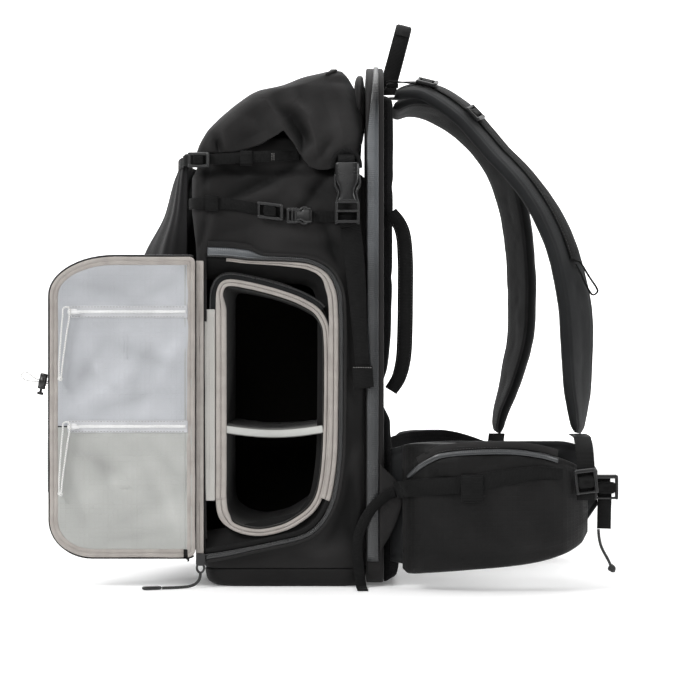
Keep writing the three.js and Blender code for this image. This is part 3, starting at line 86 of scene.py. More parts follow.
addCamera(cameraPlace)
addLamps(lampRows)
world = bpy.data.worlds.new("studio")
world.use_nodes = True
world.node_tree.nodes["Background"].inputs[0].default_value = (1, 1, 1, 1)
world.node_tree.nodes["Background"].inputs[1].default_value = 0.16
bpy.context.scene.world = world
bpy.context.scene.view_settings.view_transform = "Standard"
print("camera and light placed")


# Finishes. Colours are given as the screen shows them, from 0 to 255.
def linear(colour):
    # Screen colour to linear light, by the standard curve
    share = np.array(colour) / 255
    return (*np.where(share <= 0.04045, share / 12.92, ((share + 0.055) / 1.055) ** 2.4), 1)


class Finish:
    # A material whose nodes are added one at a time; the shader's own sockets take the plain values.
    def __init__(self, name, colour, rough, **sockets):
        self.material = bpy.data.materials.new(name)
        self.material.use_nodes = True
        self.tree = self.material.node_tree
        self.shader = self.tree.nodes["Principled BSDF"]
        self.shader.inputs["Base Color"].default_value = linear(colour)
        self.shader.inputs["Roughness"].default_value = rough
        for socket, value in sockets.items():
            self.shader.inputs[socket.replace("_", " ")].default_value = value
        self.material.diffuse_color = linear(colour)
        self.bumps = None

    def node(self, kind, values=None, **settings):
        # A shader node with its settings and input values
        made = self.tree.nodes.new("ShaderNode" + kind)
        for key, value in settings.items():
            setattr(made, key, value)
        for key, value in (values or {}).items():
            made.inputs[key].default_value = value
        return made

    def link(self, source, target):
        self.tree.links.new(source, target)

    def place(self, kind="Object", scale=(1, 1, 1), turn=0):
        # Texture coordinates, scaled and turned
        at = self.node("TexCoord")
        mapping = self.node("Mapping", {"Scale": scale, "Rotation": (0, 0, turn)})
        self.link(at.outputs[kind], mapping.inputs["Vector"])
        return mapping.outputs["Vector"]

    def noise(self, scale, detail=3, kind="Object", stretch=(1, 1, 1)):
        # Soft noise of the given scale
        made = self.node("TexNoise", {"Scale": scale, "Detail": detail})
        self.link(self.place(kind, stretch), made.inputs["Vector"])
        return made.outputs["Fac"]

    def bands(self, period, across="X", kind="UV", profile="SIN", turn=0):
        # Even bands, one each period
        made = self.node("TexWave", {"Scale": math.pi / (10 * period)}, bands_direction=across, wave_profile=profile)
        self.link(self.place(kind, turn=turn), made.inputs["Vector"])
        return made.outputs["Fac"]

    def blend(self, a, b, mode="MULTIPLY"):
        # Two sources or numbers joined by a math node
        made = self.node("Math", operation=mode)
        for at, source in enumerate((a, b)):
            if isinstance(source, (int, float)):
                made.inputs[at].default_value = source
            else:
                self.link(source, made.inputs[at])
        return made.outputs[0]

    def ramp(self, source, low, high, colourLow, colourHigh):
        # A colour between two, as the source goes from low to high
        made = self.node("ValToRGB")
        made.color_ramp.elements[0].position, made.color_ramp.elements[1].position = low, high
        made.color_ramp.elements[0].color, made.color_ramp.elements[1].color = linear(colourLow), linear(colourHigh)
        self.link(source, made.inputs[0])
        return made.outputs[0]

    def colour(self, source, low, high, colourLow, colourHigh):
        # The ramp's colour, times one plus the surface's tone where it has one: painted light and shade, with some
        # random mottle
        tone = self.node("Attribute", attribute_name="tone")
        scale = self.node("VectorMath", operation="SCALE")
        self.link(self.ramp(source, low, high, colourLow, colourHigh), scale.inputs[0])
        self.link(self.blend(tone.outputs["Fac"], 1.0, "ADD"), scale.inputs["Scale"])
        self.link(scale.outputs[0], self.shader.inputs["Base Color"])
        return self

    def rough(self, source, low, high):
        # Roughness between two values
        made = self.node("MapRange", {"To Min": low, "To Max": high})
        self.link(source, made.inputs[0])
        self.link(made.outputs[0], self.shader.inputs["Roughness"])
        return self

    def bump(self, source, height, strength=1.0):
        # Height added over the bumps set before
        made = self.node("Bump", {"Strength": strength, "Distance": height})
        self.link(source, made.inputs["Height"])
        if self.bumps is not None:
            self.link(self.bumps.outputs[0], made.inputs["Normal"])
        self.bumps = made
        self.link(made.outputs[0], self.shader.inputs["Normal"])
        return self


def wovenFinish(name, low, high, rough, yarn, height, wide=9, sheen=0.15, soft=0.0006, gloss=0.16):
    # Plain weave: bands across times bands along, over a slow colour change
    made = Finish(name, high, rough, Specular_IOR_Level=gloss, Sheen_Weight=sheen, Sheen_Roughness=0.5)
    weave = made.blend(made.bands(yarn, "X"), made.bands(yarn, "Y"))
    made.colour(made.noise(wide, 5), 0.35, 0.7, low, high)
    made.bump(made.noise(90, 3), soft, 0.5).bump(weave, height)
    return made


def gridFinish(name, low, high, rough, square, height, sheen=0.1, line=0.16):
    # Ripstop: thin raised lines in both directions over a fine weave
    made = wovenFinish(name, low, high, rough, 0.0007, 0.00004, sheen=sheen)
    lines = []
    for across in ("X", "Y"):
        edge = made.node("MapRange", {"From Min": 1 - line, "From Max": 1})
        made.link(made.bands(square, across), edge.inputs[0])
        lines.append(edge.outputs[0])
    made.bump(made.blend(*lines, mode="MAXIMUM"), height)
    return made


def webFinish(name, low, high, rib=0.0016, rough=0.62):
    # Webbing: ribs across the run, cut by fine ends along it
    made = Finish(name, high, rough, Specular_IOR_Level=0.15, Sheen_Weight=0.03, Sheen_Roughness=0.4)
    ribs = made.bands(rib, "Y")
    ends = made.bands(0.0012, "X")
    made.colour(made.blend(ribs, made.noise(60, 2)), 0.1, 0.6, low, high)
    made.bump(ribs, 0.00022).bump(ends, 0.00012)
    return made


def plasticFinish(name, low, high, rough=0.38):
    # Smooth moulding: slow colour change, fine roughness and a faint grain
    made = Finish(name, high, rough, Specular_IOR_Level=0.55, Coat_Weight=0.08, Coat_Roughness=0.3)
    made.colour(made.noise(40, 4), 0.3, 0.7, low, high)
    made.rough(made.noise(300, 2), rough - 0.08, rough + 0.1)
    made.bump(made.noise(900, 2), 0.00004)
    return made


mainCloth = wovenFinish("mainCloth", (24, 23, 23), (37, 36, 36), 0.6, 0.0009, 0.00005, sheen=0.06)
# shadeCloth is the main cloth made darker: painted shade for pieces that lie in shadow
shadeCloth = wovenFinish("shadeCloth", (16, 16, 16), (23, 22, 22), 0.75, 0.0009, 0.00005, sheen=0.03)
stretchCloth = wovenFinish("stretchCloth", (17, 17, 18), (27, 26, 27), 0.7, 0.0013, 0.00014, sheen=0.06)
strapCloth = wovenFinish("strapCloth", (18, 19, 20), (26, 27, 28), 0.66, 0.0011, 0.00008, sheen=0.06)
meshCloth = wovenFinish("meshCloth", (12, 12, 13), (21, 21, 22), 0.8, 0.0026, 0.0004, sheen=0.05)
ripstopCloth = gridFinish("ripstopCloth", (12, 12, 12), (24, 23, 23), 0.5, 0.0052, 0.0001, sheen=0.04)
blueLining = gridFinish("blueLining", (166, 168, 172), (184, 186, 190), 0.5, 0.0056, 0.00012, line=0.12)
greyLining = gridFinish("greyLining", (160, 161, 158), (176, 177, 174), 0.55, 0.0052, 0.00012, line=0.12)
paleBinding = webFinish("paleBinding", (156, 150, 145), (192, 186, 181), 0.0011, 0.75)
hookTape = wovenFinish("hookTape", (168, 166, 162), (192, 190, 186), 0.85, 0.0016, 0.0003)
dividerCloth = wovenFinish("dividerCloth", (170, 171, 168), (196, 197, 193), 0.85, 0.0014, 0.0002)
dividerUnder = wovenFinish("dividerUnder", (92, 92, 90), (124, 124, 121), 0.9, 0.0014, 0.0002)
insideCloth = wovenFinish("insideCloth", (20, 18, 15), (28, 26, 22), 0.85, 0.0012, 0.0001)
blackWebbing = webFinish("blackWebbing", (7, 7, 7), (18, 18, 18))
blackPlastic = plasticFinish("blackPlastic", (15, 15, 15), (23, 23, 24), 0.3)
whiteCoil = plasticFinish("whiteCoil", (214, 214, 214), (232, 232, 232), 0.45)
whiteTape = webFinish("whiteTape", (184, 185, 188), (208, 209, 212), 0.0012, 0.8)
blackCoil = plasticFinish("blackCoil", (16, 16, 17), (28, 28, 29), 0.3)


def coatedFinish():
    # Film-coated zipper: grey gloss with the coil showing through as fine ribs
    made = Finish("coatedZipper", (50, 52, 54), 0.3, Coat_Weight=0.5, Coat_Roughness=0.2)
    made.colour(made.noise(14, 3), 0.3, 0.75, (36, 38, 40), (58, 60, 62))
    made.bump(made.bands(0.0021, "Y"), 0.00022).bump(made.noise(70, 3), 0.0004)
    return made


def cordFinish(name, low, high):
    # Braid: two sets of slanting bands round the cord
    made = Finish(name, high, 0.7, Sheen_Weight=0.2)
    braid = made.blend(made.bands(0.0013, "DIAGONAL"), made.bands(0.0013, "DIAGONAL", turn=math.pi / 2), "MAXIMUM")
    made.colour(braid, 0.2, 0.9, low, high)
    made.bump(braid, 0.0002)
    return made


coatedZipper = coatedFinish()
whiteCord = cordFinish("whiteCord", (170, 170, 168), (222, 222, 220))
blackCord = cordFinish("blackCord", (14, 14, 14), (40, 40, 40))
threadFinish = Finish("threadFinish", (58, 57, 56), 0.7)
threadFinish.colour(threadFinish.noise(400, 2), 0.3, 0.7, (44, 43, 42), (70, 69, 68))
paleThread = Finish("paleThread", (150, 148, 146), 0.7)
paleThread.colour(paleThread.noise(400, 2), 0.3, 0.7, (130, 128, 126), (168, 166, 164))
print("finishes made")


# Shapes as whole arrays. A grid is rows of points; a surface joins neighbours by quads.
def smoothLine(points, count, closed=False):
    # Catmull-Rom curve through the points, cut into steps of even length
    p = np.asarray(points, float)
    p = np.vstack([p[-1], p, p[0], p[1]]) if closed else np.vstack([2 * p[0] - p[1], p, 2 * p[-1] - p[-2]])
    t = np.linspace(0, 1, 20, endpoint=False)[None, :, None]
    a, b, c, d = p[:-3, None], p[1:-2, None], p[2:-1, None], p[3:, None]
    q = 0.5 * (2 * b + (c - a) * t + (2 * a - 5 * b + 4 * c - d) * t**2 + (3 * b - a - 3 * c + d) * t**3)
    q = q.reshape(-1, p.shape[1])
    q = np.vstack([q, q[:1]]) if closed else np.vstack([q, p[-2:-1]])
    run = runOf(q)
    steps = np.linspace(0, run[-1], count + closed)[: count]
    return np.stack([np.interp(steps, run, q[:, k]) for k in range(q.shape[1])], 1)


def column(rows, names, value, at):
    # A table's column read smoothly at places of its first one, by Hermite curves that don't overshoot
    table = np.array(rows, float)
    x, y = table[:, 0], table[:, names.index(value)]
    at = np.clip(at, x[0], x[-1])
    slope = np.diff(y) / np.diff(x)
    product, total = slope[1:] * slope[:-1], slope[1:] + slope[:-1]
    middle = np.where(product > 0, 2 * product / np.where(total == 0, 1, total), 0)
    tangent = np.r_[slope[0], middle, slope[-1]]
    i = np.clip(np.searchsorted(x, at, side="right") - 1, 0, len(x) - 2)
    h = x[i + 1] - x[i]
    t = (at - x[i]) / h
    return (y[i] * (1 + 2 * t) * (1 - t) ** 2 + y[i + 1] * t**2 * (3 - 2 * t)
            + h * tangent[i] * t * (1 - t) ** 2 - h * tangent[i + 1] * t**2 * (1 - t))


def softNoise(points, scale, seed=1):
    # Value noise from -1 to 1 on a lattice of the given step, with smooth steps between its corners
    p = np.asarray(points, float) / scale + seed * 13.7
    cell = np.floor(p).astype(np.int64)
    f = p - cell
    f = f * f * (3 - 2 * f)
    total = 0
    for corner in np.ndindex(2, 2, 2):
        c = cell + np.array(corner)
        h = (c[..., 0] * 73856093) ^ (c[..., 1] * 19349663) ^ (c[..., 2] * 83492791) ^ (seed * 2654435761)
        h = (h ^ (h >> 13)) * 1274126177 & 0x7FFFFFFF
        weight = np.prod(np.where(np.array(corner) == 1, f, 1 - f), axis=-1)
        total = total + weight * ((h % 20011) / 10005.5 - 1)
    return total


def folds(x, z, rows):
    # Sum of folds; each row is x, z at both ends, reach, depth and how sharp its crest is from 0 to 1
    total = np.zeros_like(x)
    for x0, z0, x1, z1, reach, depth, sharp in rows:
        dx, dz = x1 - x0, z1 - z0
        t = np.clip(((x - x0) * dx + (z - z0) * dz) / (dx * dx + dz * dz), 0, 1)
        away = np.hypot(x - x0 - t * dx, z - z0 - t * dz) / reach
        crest = (1 - sharp) * np.exp(-(away**2)) + sharp * np.exp(-away * 1.4)
        total += depth * crest * np.sin(np.pi * np.clip(t * 0.86 + 0.07, 0, 1)) ** 0.5
    return total


def unit(v):
    # Vectors divided by their lengths
    return v / np.maximum(np.linalg.norm(v, axis=-1, keepdims=True), 1e-9)


def power(v, share):
    # The size of v to a power, with v's sign: it squares up a circle's cosine and sine
    return np.sign(v) * np.abs(v) ** share


def runOf(path):
    # How far along the path each point lies
    return np.r_[0, np.cumsum(np.linalg.norm(np.diff(path, axis=0), axis=1))]


def carried(path, faces, profile, closed=False):
    # A profile of (across, up) carried along a path; up leans as the face vectors say
    path, faces = np.asarray(path, float), np.asarray(faces, float)
    if faces.ndim == 1:
        faces = np.broadcast_to(faces, path.shape)
    ahead, behind = (np.roll(path, -1, 0), np.roll(path, 1, 0)) if closed else (
        np.vstack([path[1:], path[-1:]]), np.vstack([path[:1], path[:-1]]))
    along = unit(ahead - behind)
    across = unit(np.cross(along, faces))
    up = unit(np.cross(across, along))
    profile = np.asarray(profile, float)
    if profile.ndim == 2:
        profile = np.broadcast_to(profile, (len(path), *profile.shape))
    return path[:, None] + profile[..., :1] * across[:, None] + profile[..., 1:2] * up[:, None]


def roundProfile(width, thick, steps=12, square=0.5):
    # A closed rounded section, from ellipse (square 1) to nearly a rectangle (square 0.2)
    a = (np.arange(steps) + 0.5) / steps * 2 * np.pi
    c, s = np.cos(a), np.sin(a)
    return np.stack([power(c, square) * width / 2, power(s, square) * thick / 2], 1)


def placed(name, mesh, finish, body="root"):
    # The mesh as a smooth piece with its finish and the body that it rides on
    mesh.polygons.foreach_set("use_smooth", [True] * len(mesh.polygons))
    mesh.materials.append(finish.material)
    piece = bpy.data.objects.new(name, mesh)
    bpy.context.scene.collection.objects.link(piece)
    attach(piece, body)
    return piece


def surface(name, grid, finish, slot, wrapRows=False, wrapCols=False, caps=False, facing=None, keep=None, body="root",
            flatUv=None, tone=None):
    # Quads over the grid; caps close the first and last rows with a fan round their middle
    grid = np.asarray(grid, float)
    rows, cols = grid.shape[:2]
    r = np.arange(rows if wrapRows else rows - 1)
    c = np.arange(cols if wrapCols else cols - 1)
    r, c = [a.ravel() for a in np.meshgrid(r, c, indexing="ij")]
    if keep is not None:
        chosen = keep[r, c]
        r, c = r[chosen], c[chosen]
    rn, cn = (r + 1) % rows, (c + 1) % cols
    faces = np.stack([r * cols + c, r * cols + cn, rn * cols + cn, rn * cols + c], 1)
    rowSteps = np.linalg.norm(np.diff(np.concatenate([grid, grid[:1]]), axis=0), axis=2)
    colSteps = np.linalg.norm(np.diff(np.concatenate([grid, grid[:, :1]], 1), axis=1), axis=2)
    rowRun, colRun = np.r_[0, np.cumsum(rowSteps.mean(1))], np.r_[0, np.cumsum(colSteps.mean(0))]
    uv = np.stack([np.stack([colRun[c], rowRun[r]], 1), np.stack([colRun[c + 1], rowRun[r]], 1),
                   np.stack([colRun[c + 1], rowRun[r + 1]], 1), np.stack([colRun[c], rowRun[r + 1]], 1)], 1) * mm
    verts = grid.reshape(-1, 3) * mm
    if flatUv:  # the pattern follows two of the axes
        uv = verts[faces][..., list(flatUv)]
    faceList, uvList = faces.tolist(), uv.reshape(-1, 2)
    if caps:
        extra = []
        for row, turned in ((0, True), (rows - 1, False)):
            middle = len(verts) + len(extra)
            extra.append(grid[row].mean(0) * mm)
            i = np.arange(cols)
            j = (i + 1) % cols
            fan = np.stack([row * cols + i, row * cols + j, np.full(cols, middle)], 1)
            fan = fan[:, ::-1] if turned else fan
            faceList += fan.tolist()
            uvList = np.vstack([uvList, np.stack([fan % cols, fan // cols], -1).reshape(-1, 2) * mm])
        verts = np.vstack([verts, extra])
    mesh = bpy.data.meshes.new(name)
    used = np.zeros(len(verts), bool)
    used[np.concatenate([np.asarray(f) for f in faceList]) if caps else faces.ravel()] = True
    index = np.cumsum(used) - 1
    mesh.from_pydata(verts[used].tolist(), [], [[int(index[v]) for v in f] for f in faceList])
    layer = mesh.uv_layers.new(name="UVMap")
    layer.data.foreach_set("uv", uvList.astype(np.float32).ravel())
    # the tone is painted light and shade, with some random mottle
    if tone is not None:  # how much lighter or darker the cloth is at each point, as a share
        values = np.concatenate([np.ravel(tone), np.zeros(len(verts) - np.size(tone))])[used]
        mesh.attributes.new("tone", "FLOAT", "POINT").data.foreach_set("value", values.astype(np.float32))
    corners = verts[faces]
    if facing is None:  # a closed shape: its signed volume about its middle tells which way the faces point
        corners = corners - verts[used].mean(0)
        sense = sum((corners[:, 0] * np.cross(corners[:, i], corners[:, i + 1])).sum() for i in (1, 2))
        if caps:
            fans = verts[np.array(faceList[len(faces):])] - verts[used].mean(0)
            sense += (fans[:, 0] * np.cross(fans[:, 1], fans[:, 2])).sum()
    else:
        normals = np.cross(corners[:, 2] - corners[:, 0], corners[:, 3] - corners[:, 1])
        sense = (normals @ np.array(facing, float)).sum()
    if sense < 0:
        mesh.flip_normals()
    return placed(name, mesh, finish, body)


def tube(name, grid, finish, slot, **more):
    # A surface closed round its columns, with both ends capped
    return surface(name, grid, finish, slot, wrapCols=True, caps=True, **more)


def wall(piece, thick, offset=-1.0):
    # Gives an open shell its thickness
    made = piece.modifiers.new("wall", "SOLIDIFY")
    made.thickness, made.offset = thick * mm, offset
    return piece


def joined(name, pieces):
    # Several meshes made one object; the first piece's modifiers go, so each is finished before
    depsgraph = bpy.context.evaluated_depsgraph_get()
    for piece in pieces:
        if piece.modifiers:
            depsgraph.update()
            made = bpy.data.meshes.new_from_object(piece.evaluated_get(depsgraph))
            piece.modifiers.clear()
            piece.data = made
    with bpy.context.temp_override(active_object=pieces[0], selected_editable_objects=pieces,
                                   selected_objects=pieces):
        bpy.ops.object.join()
    pieces[0].name = name
    pieces[0].data.name = name
    return pieces[0]


def webbing(name, stations, width, thick=1.6, steps=90, finish=blackWebbing, slot="webbing", widths=None):
    # A flat rounded section carried along stations of place and face; its inner side lies on them
    at = smoothLine(np.array([s[0] + s[1] for s in stations], float), steps)
    share = np.linspace(0, 1, steps)
    wide = np.ones(steps) if widths is None else np.interp(share, np.linspace(0, 1, len(widths)), widths)
    half = width / 2
    edge = 0.35
    profile = np.array([[-half, edge], [-half + edge, 0], [half - edge, 0], [half, edge], [half, thick - edge],
                        [half - edge, thick], [0, thick * 1.04], [-half + edge, thick], [-half, thick - edge]])
    profile = np.broadcast_to(profile, (steps, *profile.shape)).copy()
    profile[..., 0] *= wide[:, None]
    return tube(name, carried(at[:, :3], at[:, 3:6], profile), finish, slot)


def cordPiece(name, route, diameter, finish, slot, steps=120, sides=14):
    # A round section carried along a smooth route
    at = smoothLine(route, steps)
    a = np.arange(sides) / sides * 2 * np.pi
    profile = np.stack([np.cos(a), np.sin(a)], 1) * diameter / 2
    upright = np.ptp(at[:, 1]) < 0.6 * np.ptp(at, axis=0).max()
    hint = (0.13, -1, 0.21) if upright else (0.1, 0.2, 1)
    return tube(name, carried(at, hint, profile), finish, slot), at


def blob(name, middle, radius, finish, slot, rings=14, sides=18, lumps=0.32, seed=3):
    # A sphere of latitude and longitude, its radius changed by soft lumps
    lat = np.linspace(-np.pi / 2 + 0.12, np.pi / 2 - 0.12, rings)[:, None]
    lon = np.arange(sides)[None] / sides * 2 * np.pi
    p = np.stack([np.cos(lat) * np.cos(lon), np.cos(lat) * np.sin(lon), np.sin(lat) + 0 * lon], -1)
    p = p * (1 + lumps * softNoise(p * 10, 7, seed))[..., None]
    return tube(name, p * radius + np.array(middle), finish, slot)


# Cords first: their routes repeat those of the frame's solids
cordSizes = {"base": 3.2, "hip": 3.2, "pull": 1.9, "loop": 1.6, "pullLength": 72}
lockAt = np.array([-282.2, -151.5, 223.5])
lockLean = math.radians(12)
lockUp = np.array([math.sin(lockLean), 0, math.cos(lockLean)])
lockSide = np.array([math.cos(lockLean), 0, -math.sin(lockLean)])
pullerX = -111
baseCordRoute = [
    [-111, -153.8, 15.6], [-111.3, -153.9, 12.6], [-112.2, -154.3, 9.4], [-114.2, -155, 6.4], [-117.4, -156.4, 4],
    [-121.8, -158.6, 2.5], [-127.4, -161.2, 2], [-132.6, -164, 1.9], [-138.4, -166.4, 1.9], [-144.6, -168.2, 1.9],
    [-151, -169.4, 1.9],
]


def hipCordRoute():
    # From the belt webbing's end down to the knot, leaning away
    cad = np.array(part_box("hip_cord")) / mm
    rows = [[-5, 63.4], [-4.6, 58], [-3.8, 52], [-2, 45], [1, 38.5], [4.4, 32.4], [7.4, 26.4], [9.6, 20.6]]
    y = cad.mean(0)[1]
    left = cad[0][0] + cordSizes["hip"] / 2 + 5
    return [[left + x, y, z] for x, z in rows]


def pullRoute(z, left=-253.3):
    # Hairpin: down from the knot on the left, round the slider's tab and down again on the right
    y, turn, reach = -162.7, 2.1 * cordSizes["pull"], cordSizes["pullLength"]
    rows = [[-9.6, -0.98], [-9.4, -0.8], [-8.6, -0.6], [-7.6, -0.4], [-6.6, -0.2], [-5.6, -0.06]]
    leftSide = [[left + x, y, z + share * reach] for x, share in rows]
    arc = [[left - 1.6 + turn * math.cos(math.radians(d)), y, z + 1.2 + turn * math.sin(math.radians(d))]
           for d in (160, 125, 90, 55, 20)]
    apart = lambda share: (cordSizes["pull"] + 0.5) * (-share) + (2 * turn - 0.2) * (1 + share)
    rightSide = [[left + x + apart(share), y, z + share * reach] for x, share in rows[::-1]]
    return leftSide + arc + rightSide


def lockLoopRoute():
    # Out of the lock, round a bight and back in; its far part is a little longer
    rows = [[5.9, -1.1], [2, -1.1], [-2, -1.1], [-6, -1.2], [-10, -1.9], [-14, -2.3], [-17.5, -1.9], [-20.4, 0.3],
            [-21.2, 3.2], [-19.6, 5.6], [-16.6, 6.2], [-13, 4.6], [-10, 2.8], [-6, 1.4], [-2, 1.1], [2, 1.1],
            [5.9, 1.1]]
    stretch = lambda x: x * 24 / 21.2 if x < -4.3 else x
    return [lockAt + lockSide * stretch(x) + lockUp * up for x, up in rows]


def cordWithKnot(name, node, route, diameter, finish, slot, knotAt=None, knotSize=1.5,
                 extra=()):
    # The cord's tube and, where knotAt is given, its knot; the end piece in extra is not used
    piece, path = cordPiece(name, route, diameter, finish, slot)
    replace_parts(piece, node)
    others = list(extra)
    if knotAt is not None:
        others.append(blob(name + "Knot", knotAt, diameter * knotSize, finish, slot))
    path = path * mm
    return piece


def cords():
    # Door pulls, lock loop, hip cord and base cord
    for which, z in (("Upper", 299), ("Lower", 175)):
        route = pullRoute(z)
        size = cordSizes["pull"]
        knotAt = [route[0][0] + size * 0.6, route[0][1], route[0][2] - size]
        cordWithKnot("doorCord" + which, "door_cord_" + which.lower(), route, size, whiteCord, "white_cord",
                     knotAt=knotAt, knotSize=1.35)
    cordWithKnot("lockLoop", "cord_lock_loop", lockLoopRoute(), cordSizes["loop"], whiteCord, "white_cord")
    route = hipCordRoute()
    cordWithKnot("hipCord", "hip_cord", route, cordSizes["hip"], blackCord, "black_cord", knotAt=route[-1],
                 knotSize=1.25)
    # the base cord's end tab: rounded sections along its length, lying on the floor
    turn = math.pi + 0.18
    a = np.arange(16) / 16 * 2 * np.pi
    rows = []
    for share in np.linspace(0, 1, 16):
        x, half = 21 * share, 4.9 * (1 - 0.28 * (2 * share - 1) ** 6) * (0.75 + 0.25 * min(1, share * 5))
        thick = 3.8 * (1 - 0.5 * (2 * share - 1) ** 8)
        y = power(np.cos(a), 0.5) * half
        z = power(np.sin(a), 0.6) * thick / 2 + 2.2
        rows.append(np.stack([pullerX - 40.6 + x * math.cos(turn) - y * math.sin(turn),
                              -169.5 + x * math.sin(turn) + y * math.cos(turn), z], 1))
    tab = tube("baseCordTab", rows, blackPlastic, "black_plastic")
    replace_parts(tab, "base_cord_tab")
    cordWithKnot("baseCord", "base_cord", baseCordRoute, cordSizes["base"], blackCord, "black_cord",
                 extra=[tab])


cords()
print("cords laid")


# Bag body
bagSize = {"width": 300, "depth": 193, "rearX": 68, "lowZ": 20.4, "topZ": 490, "corner": 13, "cloth": 1.8}
bagNames = ["up", "reach", "rear", "half", "corner"]
bagRows = [
    (0, 0.905, 0, 0.965, 1.4), (0.03, 0.94, 0, 0.99, 1), (0.12, 0.952, 0, 1, 1), (0.4, 0.96, 0, 1, 1),
    (0.72, 0.965, 0, 1, 1), (0.78, 0.982, 0, 0.995, 1.3), (0.86, 1, 0, 0.99, 1.7), (0.905, 0.998, 0, 0.98, 1.7),
    (0.925, 0.975, 0.0555, 0.93, 1.4), (1, 0.93, 0.0555, 0.88, 1.4),
]
# Folds on the side: x, z at both ends, reach, depth, sharpness
bagFolds = [
    (-78, 423, -10, 457, 7, 6.5, 0.55), (-76, 417, -24, 433, 9, -2.8, 0.3), (32, 454, -6, 406, 8, 4.2, 0.5),
    (12, 442, -16, 404, 12, -2.6, 0.2), (-103, 456, -110, 434, 4, 5, 0.5), (-110, 434, -103, 412, 4, 3.4, 0.4),
    (-104, 408, -115, 366, 4, 5, 0.6), (-97, 402, -108, 366, 6, -2.8, 0.4), (22, 398, 37, 352, 8, 4, 0.4),
    (46, 332, 52, 236, 7, 3.2, 0.4), (47, 170, 53, 56, 8, 3, 0.3), (-100, 27, -18, 42, 5, 4, 0.8),
    (-92, 33, -26, 47, 5, -2.2, 0.4), (-60, 394, 12, 384, 20, -2.2, 0.1), (-20, 374, 36, 369, 8, 1.8, 0.3),
    (26, 46, 50, 92, 10, 2.8, 0.3), (-20, 30, 30, 26, 8, 1.8, 0.3), (-90, 384, -50, 396, 9, 1.8, 0.3),
    (0, 436, 30, 424, 8, 2.0, 0.3), (-60, 446, -88, 458, 6, 2.4, 0.4), (44, 220, 60, 200, 8, 2, 0.3),
    (42, 120, 62, 150, 9, -1.8, 0.2), (-8, 25, 44, 44, 6, -1.6, 0.3),
]
openingOutline = [
    (-106, 34), (-78, 38.5), (-33.6, 47.2), (1, 55.9), (19, 69.5), (30.4, 89.5), (36, 111), (40, 145), (41, 189),
    (41.5, 255), (41, 300), (38, 324), (28.2, 342.3), (9.8, 353), (-12, 356), (-56.4, 357.5), (-80, 360), (-106, 361),
]


def levelRings(front, rear, half, corner, z, near=96, end=34, far=44, turn=7):
    # Level rounded rectangles, one a row; columns run along the near side, the front, the far side and the rear
    def line(x0, y0, x1, y1, n):
        s = (np.arange(n) / n)[None]
        return np.stack([x0[:, None] * (1 - s) + x1[:, None] * s, y0[:, None] * (1 - s) + y1[:, None] * s], -1)

    def arc(cx, cy, start):
        a = start - (np.arange(turn) / turn)[None] * np.pi / 2
        return np.stack([cx[:, None] + corner[:, None] * np.cos(a), cy[:, None] + corner[:, None] * np.sin(a)], -1)

    c = corner
    ring = np.concatenate([
        line(rear - c, -half, front + c, -half, near), arc(front + c, -half + c, -np.pi / 2),
        line(front, -half + c, front, half - c, end), arc(front + c, half - c, np.pi),
        line(front + c, half, rear - c, half, far), arc(rear - c, half - c, np.pi / 2),
        line(rear, half - c, rear, -half + c, end), arc(rear - c, -half + c, 0)], 1)
    return np.concatenate([ring, np.broadcast_to(z[:, None, None], (*ring.shape[:2], 1))], -1)


def inside(x, z, outline):
    # Even-odd rule for points against a closed outline
    hit = np.zeros(x.shape, bool)
    pts = np.asarray(outline)
    for (x0, z0), (x1, z1) in zip(pts, np.roll(pts, -1, 0)):
        crosses = (z0 > z) != (z1 > z)
        with np.errstate(divide="ignore", invalid="ignore"):
            hit ^= crosses & (x < (x1 - x0) * (z - z0) / (z1 - z0) + x0)
    return hit


def easing(x, low, high):
    # Smooth step: 0 below low, 1 above high, t squared times (3 - 2t) between
    t = np.clip((x - low) / (high - low), 0, 1)
    return t * t * (3 - 2 * t)


def distanceTo(x, z, outline):
    # Shortest distance from each point to an open outline
    away = np.full(x.shape, 1e9)
    pts = np.asarray(outline, float)
    for (x0, z0), (x1, z1) in zip(pts[:-1], pts[1:]):
        dx, dz = x1 - x0, z1 - z0
        t = np.clip(((x - x0) * dx + (z - z0) * dz) / (dx * dx + dz * dz), 0, 1)
        away = np.minimum(away, np.hypot(x - x0 - t * dx, z - z0 - t * dz))
    return away


outlineFine = smoothLine(openingOutline, 220)


def foldShading(press, share):
    # Painted shade where the cloth is pressed in, painted light where it stands out
    return np.clip(-share * press, -0.82, 0.6)


